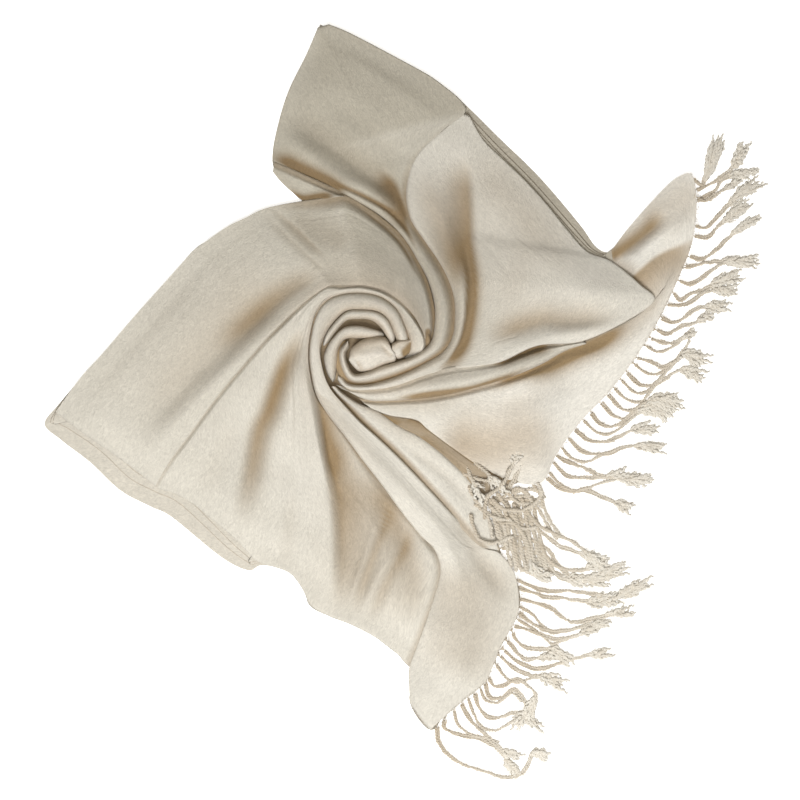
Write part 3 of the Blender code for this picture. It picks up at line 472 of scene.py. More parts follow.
def fold_parts(name, xy):
    """Sum of a stretch's folds at each point, in millimetres, and of their painted shade.

    A fold's bell is taken over the signed distance to the nearest tangent of its path, so it has no steps."""
    height = np.zeros(xy.shape[:-1])
    fold_shade = np.zeros(xy.shape[:-1])
    for most, wide_left, wide_right, shade, *bends in FOLDS.get(name, ()):
        path = resample(table_path(bends), FOLD_STEP)
        nearest = ((xy[..., None, :] - path) ** 2).sum(axis=-1).argmin(axis=-1)
        offset = xy - path[nearest]
        ahead = unit(np.gradient(path, axis=0))[nearest]
        side = ahead[..., 0] * offset[..., 1] - ahead[..., 1] * offset[..., 0]
        run = FOLD_STEP * nearest + (ahead * offset).sum(axis=-1)
        share = np.clip(run / (FOLD_STEP * (len(path) - 1)), 0.0, 1.0)
        width = np.where(side > 0.0, wide_left, wide_right)
        end = np.clip(np.minimum(share, 1.0 - share) / FOLD_FADE, 0.0, 1.0)
        bell = np.exp(-((side / width) ** 2)) * smooth_step(end)
        height += most * bell
        fold_shade += shade * bell
    # Painted shade of the troughs, weaker far from the rosette.
    near = np.minimum(FOLD_SHADE_NEAR * from_rosette(xy, FOLD_SHADE_RADIUS), 1.0)
    return height, fold_shade * (FOLD_SHADE_LEAST + (1.0 - FOLD_SHADE_LEAST) * near)


# The stretches. One woven length runs through all of them, so one function lays any of them over the layers
# below. Its sides are rolled over a neighbour, tucked in under one, or left as a free edge.
LIFT_OUTER = 1.0
LIFT_ROSETTE = 13.5
LIFT_RADIUS = 95.0
FOOT = 0.9
LEAST_HEIGHT = 0.8
RIM = 0.4
TUCK_FOOT = 0.3
TUCK_UNDER = 4.0
TUCK_KEEP = 0.45
ROLL_KEEP = 0.15
COIL_KEEP = 0.42
# The coil shade, the foot shade and the rosette's tan below are painted shade.
COIL_SHADE = 0.8
COIL_SHADE_POWER = 1.5
COIL_MEET = 1.0
COIL_RADIUS = 80.0
MEET_RADIUS = 75.0
ROSETTE_SHADE_RADIUS = 70.0
SHADE_RADIUS = 85.0
FOOT_SHADE = 0.35
FOOT_SHADE_RADIUS = 190.0
FOOT_SHADE_POWER = 1.1
ROLL_STEPS = 12
TUCK_STEPS = 9
ROSETTE_SHADE = 0.25
ROLL_POWER = 2.6
COIL_POWER = 1.75
SIDE_SHARE = 0.92
END_HEIGHT = 1.9
END_FALL = 0.75
LEAST_LEVEL = 0.3
BILLOW = 6.5
BILLOW_EDGE = 30.0
BILLOW_MIDDLE = 110.0
BOW_START = 20.0
BOW_ROWS = 3.0
BOW_POWER = 1.5
RUMPLE = 0.3
RUMPLE_WAVES = (
    # waves per metre along X, along Y, phase, share
    (9.0, 4.0, 0.3, 1.0), (-5.0, 11.0, 1.9, 0.9), (14.0, -8.0, 4.1, 0.7), (3.0, 19.0, 2.6, 0.4),
    (-18.0, -13.0, 5.2, 0.3),
)
HEAP_EDGE_STEP = 8.0
heap_edge = resample(smooth_path((*OUTLINE, OUTLINE[0]), OUTLINE_SPANS)[:, :2], HEAP_EDGE_STEP)


def lift_height(xy, share):
    """How far a stretch stands above the hidden layers.

    It takes its share of the lift at the rosette, and between the rosette and the heap's edge it billows a
    little on the air under its folds."""
    away = ((xy[..., None, :] - heap_edge) ** 2).sum(axis=-1).min(axis=-1)
    billow = BILLOW * (1.0 - np.exp(-away / BILLOW_EDGE**2)) * (1.0 - from_rosette(xy, BILLOW_MIDDLE))
    return share * (LIFT_OUTER + (LIFT_ROSETTE - LIFT_OUTER) * from_rosette(xy, LIFT_RADIUS)) + billow


def held_above(height, least):
    """A height kept over a least value, with a bend as soft as that value where it meets it."""
    return least + least * np.logaddexp(0.0, (height - least) / least)


def rumple(xy):
    """Slow unevenness of the laid cloth: a sum of plane waves of unlike length and heading."""
    waves = np.array(RUMPLE_WAVES)
    turn = 2.0 * np.pi * MM * (xy[..., None, :] * waves[:, :2]).sum(axis=-1) + waves[:, 2]
    return RUMPLE * (np.sin(turn) * waves[:, 3]).sum(axis=-1)


def gather_lines(share, along, width, seed, count, depth):
    """Fine gathers that run with the stretch: bells of seeded place, width and depth across its share.

    Each starts and ends somewhere along the stretch and drifts a little sideways as it runs."""
    dice = np.random.default_rng(seed)
    total = np.zeros(np.broadcast(share, along).shape)
    for _ in range(count):
        centre = dice.uniform(0.08, 0.92) + dice.uniform(-0.06, 0.06) * along
        start, length = dice.uniform(-0.15, 0.6), dice.uniform(0.2, 0.55)
        half = dice.uniform(1.6, 4.2)
        deep = depth * dice.uniform(0.35, 1.0) * dice.choice((-1.0, 1.0))
        fade = np.sin(np.pi * np.clip((along - start) / length, 0.0, 1.0)) ** 2
        total = total + deep * fade * np.exp(-(((share - centre) * width / half) ** 2))
    return total


def lay_stretch(
    name, lines, left, right, share_of_lift, *, middle, per_row=7, gathers=0, gather_depth=0.4, seed=1,
    outer_edge=None, free_end=16.0, dive=(0.0, 9.0), round_start=0.0, round_end=0.0,
):
    """Grid of points of a stretch and its mask of painted shade, from a table with the x, y of each of its
    lines.

    left and right are (kind, reach in millimetres, weight) of each side, where reach and weight may have one
    value for each row of the lines, and a fourth value is the share of the height kept at the side's foot. A
    roll falls as a blunt quarter round, a tuck as a soft step that runs on under its neighbour. Height is
    bed + foot + lift + folds, less the drop to the rim at each side. In the rosette a rolled side moves out
    to its neighbour. outer_edge is a curve that the outer end is bowed to, and the bow fades row by row."""
    rows = smooth_path(lines, per_row)
    stations = np.linspace(0.0, 1.0, len(rows))[:, None]
    line_points = rows.reshape(len(rows), -1, 2)
    spans = np.diff(line_points, axis=1)
    lengths = np.linalg.norm(spans, axis=-1)
    width = lengths.sum(axis=1, keepdims=True)

    def per_station(value):
        return np.interp(stations, np.linspace(0.0, 1.0, np.size(value)), np.atleast_1d(value))

    kinds = []
    for kind, reach, weight, *keep in (left, right):
        kinds.append((kind, per_station(reach), per_station(weight), per_station(keep[0]) if keep else None))
    taken = sum(reach * weight for _, reach, weight, _ in kinds)
    fit = np.minimum(1.0, SIDE_SHARE * width / np.maximum(taken, 0.001))
    side_steps = []
    for kind, reach, weight, _ in kinds:
        if kind == "roll":
            steps = 1.0 - np.cos(np.linspace(0.0, 0.5 * np.pi, ROLL_STEPS))
            side_steps.append(steps[None] * reach * fit)
        else:
            under = -TUCK_UNDER * weight * np.array(((1.0, 0.5),))
            side_steps.append(np.hstack((under, np.linspace(0.0, 1.0, TUCK_STEPS)[None] * reach * fit)))
    near = side_steps[0]
    far = width - side_steps[1][:, ::-1]
    steps = np.linspace(0.0, 1.0, middle + 2)[None, 1:-1]
    distance = np.hstack((near, near[:, -1:] + (far[:, :1] - near[:, -1:]) * steps, far))
    share = distance / np.maximum(width, 1e-6)

    starts = np.hstack((np.zeros((len(rows), 1)), lengths.cumsum(axis=1)[:, :-1]))
    closeness = COIL_MEET * from_rosette(line_points.mean(axis=1), MEET_RADIUS)[:, None]
    outwards = [closeness * (kind == "roll") for kind, _, _, _ in kinds]
    placed = distance - outwards[0] * (1.0 - distance / width) + outwards[1] * distance / width
    xy = np.repeat(line_points[:, :1], distance.shape[1], axis=1)
    for span in range(spans.shape[1]):
        low = 0.0 if span else -np.inf
        high = lengths[:, span : span + 1] if span < spans.shape[1] - 1 else np.inf
        part = np.clip(placed - starts[:, span : span + 1], low, high)
        xy = xy + part[..., None] * (spans[:, span] / np.maximum(lengths[:, span : span + 1], 1e-6))[:, None]
    if outer_edge is not None:
        edge = smooth_path(outer_edge, PATH_SPANS)
        length = run_along(edge)
        bow = points_at(edge, length, np.clip(share[0], 0.0, 1.0) * length[-1]) - xy[0]
        bow = bow * np.clip(np.minimum(share[0], 1.0 - share[0]) * BOW_START, 0.0, 1.0)[:, None]
        fade = np.clip(1.0 - np.arange(len(rows)) / (BOW_ROWS * per_row), 0.0, 1.0) ** BOW_POWER
        xy = xy + bow[None] * fade[:, None, None]
    end_run = run_along(xy[:, xy.shape[1] // 2])[:, None]
    run_left = end_run[-1] - end_run
    for run, radius in ((end_run, round_start), (run_left, round_end)):
        if radius:
            narrow = np.sqrt(1.0 - (1.0 - np.clip(run / radius, 0.01, 1.0)) ** 2)[..., None]
            centre = 0.5 * (xy[:, :1] + xy[:, -1:])
            xy = centre + (xy - centre) * narrow

    folds, fold_shade = fold_parts(name, xy)
    gathered = gather_lines(share, stations, width, seed, gathers, gather_depth)
    bed = bed_height(xy)
    lift = lift_height(xy, share_of_lift) + folds + gathered + rumple(xy)
    top = bed + held_above(FOOT + lift, LEAST_HEIGHT)
    if free_end:
        top = top - (top - bed - END_HEIGHT) * END_FALL * np.exp(-((end_run / free_end) ** 2))
    z = top
    # Painted shade: the troughs' painted shade, and a warm painted shade over the whole rosette.
    shade_and_fray = np.clip(fold_shade, ROSETTE_SHADE * from_rosette(xy, ROSETTE_SHADE_RADIUS), 1.0)
    coiled = from_rosette(xy, COIL_RADIUS)
    power = ROLL_POWER + (COIL_POWER - ROLL_POWER) * coiled
    for (kind, reach, weight, keep), away in zip(kinds, (distance, width - distance)):
        part = np.clip(away / np.maximum(reach * fit, 0.001), 0.0, 1.0)
        if kind == "roll":
            rise = (1.0 - (1.0 - part) ** power) ** (1.0 / power)
            kept = ROLL_KEEP + (COIL_KEEP - ROLL_KEEP) * coiled if keep is None else keep
            foot = bed - RIM + kept * (top - bed)
        else:
            rise = smooth_step(part)
            kept = TUCK_KEEP if keep is None else keep
            foot = bed + TUCK_FOOT + kept * (top - bed - TUCK_FOOT)
        z = z - (top - foot) * (1.0 - rise) * weight
        # Painted shade at the foot of each rolled or tucked side, stronger the lower the foot and the nearer
        # the rosette.
        depth = FOOT_SHADE + (1.0 - FOOT_SHADE) * from_rosette(xy, FOOT_SHADE_RADIUS)
        shade = np.minimum(2.0 * (1.0 - kept), 1.0) * depth
        shade_and_fray = np.maximum(shade_and_fray, weight * shade * (1.0 - rise) ** FOOT_SHADE_POWER)
    # Painted shade on the side of each coil that faces the rosette's middle.
    reach_in = np.linalg.norm(xy - ROSETTE, axis=-1)
    inner = np.where(reach_in[:, :1] < reach_in[:, -1:], share, 1.0 - share)
    shade = COIL_SHADE * from_rosette(xy, SHADE_RADIUS) * np.clip(1.0 - inner, 0.0, 1.0) ** COIL_SHADE_POWER
    shade_and_fray = np.maximum(shade_and_fray, shade)
    drop, drop_run = dive
    z = np.maximum(z - drop * np.exp(-((run_left / drop_run) ** 2)), LEAST_LEVEL)
    return np.dstack((xy, z)), np.clip(shade_and_fray, 0.0, 1.0)


def declare(piece, nodes):
    """Dresses a stretch for its nodes."""
    dress(piece, "stole_cloth", *nodes)


def lay_cloth(
    name, lines, left, right, share_of_lift, rests_on=(), nodes=(), painted_light_heading=None, added_shade=0.0, **shape
):
    """A stretch as a sheet, with its wall downwards from the surface that shows.

    It is declared at once for its own node or the nodes given, but for an end, which rests on nothing yet and
    waits for its fringe."""
    points, shade_and_fray = lay_stretch(name, lines, left, right, share_of_lift, **shape)
    # Painted shade added all over a stretch that lies in the shade of others.
    piece = cloth_object(f"{name}_cloth", points, np.clip(shade_and_fray + added_shade, 0.0, 1.0), painted_light_heading)
    wall = piece.modifiers.new("wall", "SOLIDIFY")
    wall.thickness = CLOTH * MM
    wall.offset = -1.0
    if rests_on:
        declare(piece, nodes or (name,))
    return piece


# Left sweep. One panel lies at the far left, with a sharp crease along its lower side, and runs on over the
# top of the rosette as a smooth lobe. It is one stretch of cloth, folded double at its upper edge.
PANEL_LEFT = (
    # x, y
    (-344, -12), (-319, 22), (-298, 45), (-275, 72), (-253, 97), (-235, 117), (-219, 135), (-206, 149),
    (-194, 158), (-183, 166), (-169, 175), (-154, 182),
)
FAN_CREASE = (
    # x, y
    (-244, -86), (-228, -60), (-210, -36), (-192, -11), (-175, 11), (-160, 29), (-148, 43), (-133, 60),
    (-121, 72), (-110, 83), (-98, 94), (-86, 104), (-72, 113),
)
LOBE_OUTER = (
    # x, y
    (-138, 190), (-118, 194), (-95, 196), (-70, 199), (-56, 201), (-40, 193), (-22, 181), (-5, 167),
    (7, 153), (18, 134), (27, 114), (32, 93), (33, 75), (30, 58),
)
LOBE_INNER = (
    # x, y
    (-71, 113), (-63, 114), (-54, 114), (-45, 114), (-36, 114), (-26, 112), (-16, 109), (-6, 103),
    (4, 95), (13, 85), (19, 75), (23, 67), (25, 60), (28, 56),
)
PANEL_EDGE = ((-344, -12), (-318, -32), (-282, -57), (-254, -78), (-244, -86))
left_sweep = lay_cloth(
    "left_sweep", np.hstack((PANEL_LEFT + LOBE_OUTER, FAN_CREASE[:12] + LOBE_INNER)),
    ("tuck", 12.0, (0.0,) * 13 + (0.3, 0.8) + (1.0,) * 11),
    ("roll", (2.5,) * 8 + (3.0, 3.5, 4.0, 4.5) + (5.0,) * 8 + (8.0,) * 6, 1.0,
     (0.6,) * 9 + (0.65, 0.7) + (0.78,) * 8 + (0.6,) * 7),
    0.9, [folded_layers], ("left_panel", "left_lobe"), middle=52, gathers=16, seed=11,
    outer_edge=PANEL_EDGE, dive=(6.0, 9.0),
)

# Fan. Below the left panel the cloth spreads in a fan with one standing pleat, which comes out of the rosette
# and runs round in it as a thin coil, and a sunken part between that pleat and the second end.
PLEAT_LEFT = (
    # x, y
    (-144, -160), (-142, -130), (-139, -96), (-135, -62), (-129, -30), (-123, -5), (-117, 14), (-109, 38),
    (-103, 55), (-98, 68), (-92, 82), (-84, 94), (-72, 105), (-56, 111), (-38, 112), (-18, 107), (0, 96),
    (14, 80), (24, 62), (23, 48), (14, 38),
)
PLEAT_RIGHT = (
    # x, y
    (-71, -216), (-66, -182), (-64, -148), (-65, -118), (-69, -88), (-74, -58), (-79, -28), (-85, 5),
    (-89, 25), (-91, 45), (-89, 66), (-84, 85), (-75, 98), (-60, 105), (-40, 107), (-19, 103), (-3, 91),
    (5, 74), (10, 60), (9, 49), (3, 42),
)
SUNK_RIGHT = (
    # x, y
    (9, -266), (22, -235), (42, -170), (25, -137), (-17, -85), (-37, -59), (-54, -36), (-82, 2),
)
FAN_EDGE = (
    (-244, -86), (-215, -98), (-185, -121), (-162, -141), (-144, -160), (-128, -166), (-110, -173),
    (-98, -188), (-89, -205), (-71, -216), (-50, -224), (-25, -237), (0, -256), (9, -266),
)
COIL_LIP = 1.5
pleat_left, pleat_right = np.array(PLEAT_LEFT, dtype=float), np.array(PLEAT_RIGHT, dtype=float)
lip = unit(pleat_left - pleat_right) * COIL_LIP
fan_left_line = np.vstack((FAN_CREASE, (pleat_left + lip)[len(FAN_CREASE) :]))
fan_right_line = np.vstack((SUNK_RIGHT, (pleat_right - lip)[len(SUNK_RIGHT) :]))
lay_cloth(
    "fan", np.hstack((fan_left_line, pleat_left, pleat_right, fan_right_line)),
    ("tuck", (4.0,) * 12 + (3.5,) * 10, 1.0, (0.75,) * 8 + (0.7, 0.65) + (0.7,) * 8 + (0.5,) * 4),
    ("tuck", (10.0,) * 6 + (8.0, 5.0) + (3.5,) * 14, 1.0,
     (0.45,) * 8 + (0.4,) * 4 + (0.65,) * 6 + (0.4,) * 4),
    0.85, [folded_layers], ("fan_left", "fan_pleat", "fan_sunk"), per_row=9, middle=96, gathers=26,
    gather_depth=0.6, seed=23, outer_edge=FAN_EDGE, dive=(11.0, 14.0),
)

# Top panel. It lies at the top left, folded double along its upper right side. Its lower left side rolls over
# the lobe, and it goes on as a narrow roll down the rosette's right side and round under the bud.
TOP_PANEL = (
    # left x, left y, right x, right y
    (-82, 372, -75, 374), (-94, 344, -50, 363), (-112, 307, 0, 337), (-123, 270, 34, 317),
    (-127, 242, 62, 290), (-116, 233, 41, 270), (-95, 224, 21, 250), (-70, 213, 11, 235),
    (-48, 201, 6, 218), (-26, 188, 5, 200), (-8, 174, 10, 179), (6, 158, 23, 159), (18, 138, 38, 137),
    (28, 119, 48, 117), (34, 98, 53, 98), (35, 78, 53, 74), (31, 58, 46, 53), (17, 45, 30, 40),
    (-1, 38, 8, 29), (-18, 33, -13, 21), (-34, 27, -33, 16), (-46, 26, -50, 18), (-53, 37, -59, 32),
    (-54, 48, -61, 49), (-48, 55, -54, 60),
)
top_panel = lay_cloth(
    "top_panel", TOP_PANEL,
    ("roll", (3.0, 3.0, 3.0, 4.0, 5.0) + (6.0,) * 9 + (9.0,) * 11, (0.5,) * 4 + (0.8,) + (1.0,) * 20),
    ("tuck", (9.0,) * 10 + (12.0,) * 15, 1.0, (0.95,) * 5 + (0.93, 0.9, 0.85, 0.7, 0.5) + (0.35,) * 15),
    1.0, [folded_layers, left_sweep], middle=52, gathers=14, seed=5, dive=(5.0, 9.0), round_end=8.0,
)

# Tucked tongue. A small tongue of the same layer shows between the top panel's rolled side and the left
# sweep, tucked in under the panel.
TOP_TUCK = (
    # left x, left y, right x, right y
    (-127, 228, -126, 234), (-119, 218, -116, 230), (-107, 207, -98, 222), (-96, 199, -82, 215),
    (-78, 200, -66, 208), (-60, 203, -55, 203),
)
lay_cloth("top_tuck", TOP_TUCK, ("roll", 5.0, 1.0), ("tuck", 4.0, 1.0), 0.5, [folded_layers], middle=10)

# Right panel. The largest panel lies at the upper right, with a rolled left side beside a deep valley, and
# a corner that points at the first fringe. It narrows to the outer roll of the rosette's right side.
RIGHT_PANEL = (
    # left x, left y, right x, right y
    (62, 286, 69, 284), (43, 269, 83, 260), (22, 250, 103, 240), (12, 235, 124, 220), (7, 218, 145, 197),
    (6, 200, 166, 171), (11, 179, 187, 148), (24, 159, 212, 138), (39, 137, 240, 115), (49, 117, 254, 99),
    (54, 98, 221, 76), (54, 74, 180, 58), (51, 61, 137, 54), (46, 52, 101, 38), (39, 45, 74, 33),
    (29, 39, 50, 30), (8, 28, 26, 24), (-13, 20, -2, 14), (-33, 15, -27, 10), (-51, 16, -51, 11),
    (-59, 26, -64, 21),
)
right_panel = lay_cloth(
    "right_panel", RIGHT_PANEL,
    ("roll", (3.0, 3.0, 3.5, 4.5, 7.0) + (10.0,) * 16, 1.0, (0.92, 0.92, 0.88, 0.75, 0.5, 0.3) + (0.2,) * 15),
    ("roll", (4.0,) * 8 + (5.0,) * 2 + (4.0,) * 5 + (6.0,) * 6, (0.7,) * 8 + (0.8,) * 2 + (1.0,) * 11,
     (0.2,) * 8 + (0.4, 0.6, 0.65, 0.6, 0.6) + (0.55,) * 8),
    1.0, [folded_layers, top_panel], painted_light_heading=(-1.5, 0.35), middle=64, gathers=18, seed=8,
    dive=(5.0, 9.0), round_end=8.0,
)

# First fringed end. It comes out from under the right panel as a small lobe and spreads below it, with its
# woven edge cut straight across and its selvedge running back to the rosette.
UPPER_END = (
    # left x, left y, right x, right y
    (213, 137, 211, 149), (221, 131, 229.5, 173.5), (231, 123, 260.5, 208), (240, 116, 278, 223),
    (250, 107, 292, 224), (258, 99, 296, 193), (251, 92, 291, 155), (236, 84, 276, 117), (217, 72, 258, 79),
    (199, 62, 235, 42), (184, 55, 208, 7), (164, 48, 180, -22), (144, 36, 156, -55), (122, 26, 142, -82),
    (100, 18, 114, -82), (76, 11, 81, -67), (52, 5, 52, -48), (28, 1, 28, -30), (2, -1, 16, -20),
    (-20, -2, -9, -16), (-38, -1, -28, -9),
)
upper_end = lay_cloth(
    "upper_end", UPPER_END,
    ("tuck", (22.0,) * 9 + (14.0, 10.0, 8.0, 7.0, 6.0) + (5.0,) * 7, 1.0,
     (0.12,) * 9 + (0.15, 0.2, 0.3, 0.4, 0.5) + (0.6,) * 7),
    ("roll", (1.2,) * 14 + (1.5, 2.5) + (4.0,) * 5, (0.25,) * 14 + (0.4, 0.8) + (1.0,) * 5, 0.5),
    0.6, painted_light_heading=(-2.5, 1.2), middle=46, gathers=14, gather_depth=0.5, seed=14,
)

# Lower roll. A full roll of cloth runs between the right panel and the first end, from the corner pocket into
# the rosette.
LOWER_ROLL = (
    # left x, left y, right x, right y
    (184, 58, 186, 56), (162, 55, 165, 49), (139, 53, 144, 37), (118, 45, 122, 27), (99, 36, 100, 19),
    (74, 32, 76, 12), (51, 29, 52, 6), (27, 23, 28, 2), (-1, 13, 2, 0), (-26, 9, -22, -1),
    (-38, 9, -32, 0), (-50, 10, -41, 3), (-60, 13, -52, 9),
)
lay_cloth(
    "lower_roll", LOWER_ROLL,
    ("tuck", (2.5, 2.5, 5.0, 5.0, 3.0) + (4.0,) * 8, 1.0, (0.8, 0.7, 0.15, 0.15, 0.7) + (0.85,) * 8),
    ("roll", 5.5, 1.0, 0.12), 1.0, [folded_layers, upper_end], middle=16, gathers=4, seed=31,
)

# Sunken strip. A narrow strip of a lower layer shows between the first end's selvedge and the inner roll. It
# lies in their shade, so painted shade makes it tanner all over.
SUNK_STRIP = (
    # left x, left y, right x, right y
    (115, -83, 83, -99), (84, -68, 70, -76), (55, -48, 42, -50), (31, -29, 20, -36), (17, -19, 0, -28),
    (-7, -16, -21, -14), (-23, -13, -31, -8),
)
sunk_strip = lay_cloth(
    "sunk_strip", SUNK_STRIP, ("tuck", 4.0, 1.0, (0.9, 0.8, 0.7, 0.6, 0.5, 0.5, 0.5)),
    ("tuck", 4.0, 1.0, 0.95), 0.52, [folded_layers], added_shade=0.75, middle=12,
)

# Inner roll. It leaves the rosette beside the second end and widens into the corner where both fringes meet.
# Its upper side rolls over the sunken strip, and its lower side is tucked in under the second end.
INNER_ROLL = (
    # left x, left y, right x, right y
    (99, -150, 86, -148), (92, -124, 74, -136), (82, -102, 62, -123), (68, -78, 48, -107),
    (40, -51, 24, -81), (19, -36, 2, -58), (-1, -26, -18, -39), (-23, -11, -38, -21), (-42, -3, -54, -4),
    (-56, 6, -63, 5), (-65, 14, -69, 13),
)
inner_roll = lay_cloth(
    "inner_roll", INNER_ROLL, ("roll", 6.0, 1.0, (0.35,) * 5 + (0.6,) * 6), ("tuck", 7.0, 1.0, 0.5),
    0.8, [folded_layers, sunk_strip], middle=18, gathers=4, seed=37,
)

# Second fringed end. It comes down from the rosette's left side as a full roll and opens into the lowest
# panel, with the second woven edge on its right side. In the rosette it is the second coil.
END_TIP = (
    # left x, left y, right x, right y
    (10, -303, 30, -329), (9, -287, 59, -304),
)
END_LEFT = (
    # x, y
    (9, -268), (16, -248), (24, -225), (31, -205), (40, -172), (34, -149), (20, -135), (0, -110),
    (-18, -85), (-38, -59), (-55, -36), (-72, -14), (-83, 5), (-88, 25), (-90, 45), (-88, 65), (-83, 84),
    (-74, 97), (-60, 104), (-40, 106), (-20, 102), (-4, 90), (4, 74), (8, 60), (8, 50), (4, 43),
)
END_RIGHT = (
    # x, y
    (84, -283), (94, -263), (101, -245), (118, -212), (115, -175), (100, -153), (84, -147), (63, -125),
    (47, -108), (23, -82), (1, -59), (-19, -40), (-39, -22), (-55, -5), (-67, 8), (-75, 25), (-79, 50),
    (-71, 71), (-55, 88), (-38, 90), (-22, 88), (-12, 81), (-6, 69), (-3, 60), (-3, 51), (-4, 46),
)
lower_end = lay_cloth(
    "lower_end", np.vstack((END_TIP, np.hstack((END_LEFT, END_RIGHT)))),
    ("roll", (5.0,) * 12 + (8.0,) * 16, (0.3, 0.5) + (0.8,) * 4 + (1.0,) * 22,
     (0.4,) * 5 + (0.5, 0.55, 0.55, 0.5, 0.45, 0.4, 0.35, 0.25, 0.2) + (0.3,) * 4 + (0.42,) * 10),
    ("roll", (1.5,) * 7 + (4.0,) + (8.0,) * 20, (0.25,) * 7 + (0.7,) + (1.0,) * 20,
     (0.15,) * 8 + (0.4, 0.5, 0.55, 0.55, 0.55) + (0.6,) * 4 + (0.45,) * 11),
    1.0, painted_light_heading=(-1.2, 0.5), middle=38, gathers=12, gather_depth=0.2, seed=41, dive=(14.0, 15.0),
)

# Coils and bud. In the middle of the rosette the cloth runs round in two more coils and ends in a folded bud
# with a small petal beside it. They are narrow rolls with dark hollows between them.
COIL_OUTER = (
    # left x, left y, right x, right y
    (-5, 58, -10, 55), (-7, 68, -13, 64), (-13, 80, -20, 74), (-23, 87, -29, 80), (-38, 89, -41, 81),
    (-54, 87, -54, 79), (-70, 70, -66, 66), (-78, 53, -73, 55),
)
COIL_INNER = (
    # left x, left y, right x, right y
    (-15, 66, -17, 62), (-27, 70, -28, 62), (-40, 73, -41, 62), (-54, 72, -52, 62), (-63, 65, -58, 58),
    (-71, 54, -62, 50), (-75, 43, -63, 40), (-73, 30, -64, 29), (-69, 19, -65, 17),
)
BUD = (
    # left x, left y, right x, right y
    (-52, 45, -49, 34), (-47, 52, -40, 29), (-37, 59, -29, 30), (-25, 62, -18, 35), (-14, 61, -8, 38),
    (-8, 51, -2, 40),
)
PETAL = (
    # left x, left y, right x, right y
    (-10, 54, -4, 41), (0, 59, 3, 43), (8, 60, 11, 49), (16, 61, 17, 57),
)
COILS = (
    # name, sections, left and right reach, share of the lift, end drop, rounding of the start, its flat run
    ("coil_outer", COIL_OUTER, 6.0, 6.0, 0.9, 9.0, 4.0, 9.0),
    ("coil_inner", COIL_INNER, 6.0, 6.0, 0.7, 8.0, 4.0, 10.0),
    ("bud", BUD, 8.0, 11.0, 0.95, 0.0, 6.0, 0.0),
    ("petal", PETAL, 3.0, 9.0, 0.85, 4.0, 3.0, 0.0),
)
for name, sections, left_reach, right_reach, lift_share, end_drop, start_round, start_flat in COILS:
    lay_cloth(
        name, sections, ("roll", left_reach, 1.0), ("roll", right_reach, 1.0), lift_share, [folded_layers],
        per_row=12, middle=14, gathers=3, seed=53, free_end=start_flat, dive=(end_drop, 9.0),
        round_start=start_round, round_end=5.0,
    )

# First fringe. The warp of each end is left long, and groups of its threads are twisted in pairs into cords a
# few centimetres long, whose ends fray into soft tufts. Some cords cling together and share a tuft.
UP = (0.0, 0.0, 1.0)
TURN = 6.28
CORD_RADIUS = 1.15
COMPANION_RADIUS = 0.75
COMPANION_AWAY = 2.4
CORD_WOBBLE = 0.35
CORD_TONES = (0.0, 0.75)
CORD_HEIGHT = ((0.0, 0.18, 1.0), (2.6, 1.1, 1.0))
OVERLAP_SHARE = ((0.0, 0.6, 1.0), (1.0, 1.0, 0.6))
PLY_OFFSET = 0.82
TWIST = 6.0
CORD_STEP = 1.2
TUFT_SPREAD = 2.3
LOCK_SHARE = 0.6
LOCK_RADIUS = 1.45
TUFT_HAIR_RADIUS = 0.25
ROOT_RADIUS = 0.4
FUZZ_RADIUS = 0.16
EDGE_FUZZ_RADIUS = 0.14
EDGE_FUZZ_COUNT = 260
YARN_SIDES = 5
LOCK_SIDES = 4
HAIR_SIDES = 3
TUFT_KINDS = (
    # steps, radius, share of the spread, share of the reach, sides
    (12, LOCK_RADIUS, 1.0, 1.0, LOCK_SIDES), (6, TUFT_HAIR_RADIUS, 1.2, 0.55, HAIR_SIDES),
)
LOCK_BODY = ((0.0, 0.15, 0.75, 1.0), (0.45, 1.0, 0.95, 0.6))
CORD_FLOOR = 0.4
YARN_FLOOR = 0.05
FUZZ_PER_LENGTH = 0.6
ROOT_LENGTH = 4.0
ROOT_HALF_WIDTH = 2.4
ROOT_COUNT = 5


def yarn_finish(name, root_tone, tip_tone):
    """Matt viscose yarn: a brownish cream where it leaves the cloth, and paler towards the frayed tips."""
    material, tree, shader = blank_finish(name)
    fray = node(tree, "Attribute", {}, attribute_name="shade_and_fray").outputs["Fac"]
    tones = {0: fray, 6: (*root_tone, 1.0), 7: (*tip_tone, 1.0)}
    body = node(tree, "Mix", tones, data_type="RGBA").outputs[2]
    place = node(tree, "TexCoord", {}).outputs["Object"]
    speckle = node(tree, "TexNoise", {"Vector": place, "Scale": 900.0, "Detail": 2.0}).outputs["Fac"]
    speckled = {0: body, "Scale": noise_to(tree, speckle, 0.84, 1.08)}
    toned = node(tree, "VectorMath", speckled, operation="SCALE").outputs[0]
    relief = node(tree, "Bump", {"Height": speckle, "Strength": 0.5, "Distance": 0.0003}).outputs["Normal"]
    connect(tree, shader, {
        "Base Color": toned, "Normal": relief, "Roughness": 0.8, "Specular IOR Level": 0.2,
        "Sheen Weight": 0.3, "Sheen Roughness": 0.6,
    })
    return material


FRINGE_YARN = yarn_finish("fringe yarn", root_tone=(0.51, 0.435, 0.33), tip_tone=(0.73, 0.70, 0.63))


def sideways(heading):
    """The level vector at right angles to a heading, to its right."""
    return np.cross(heading, UP)


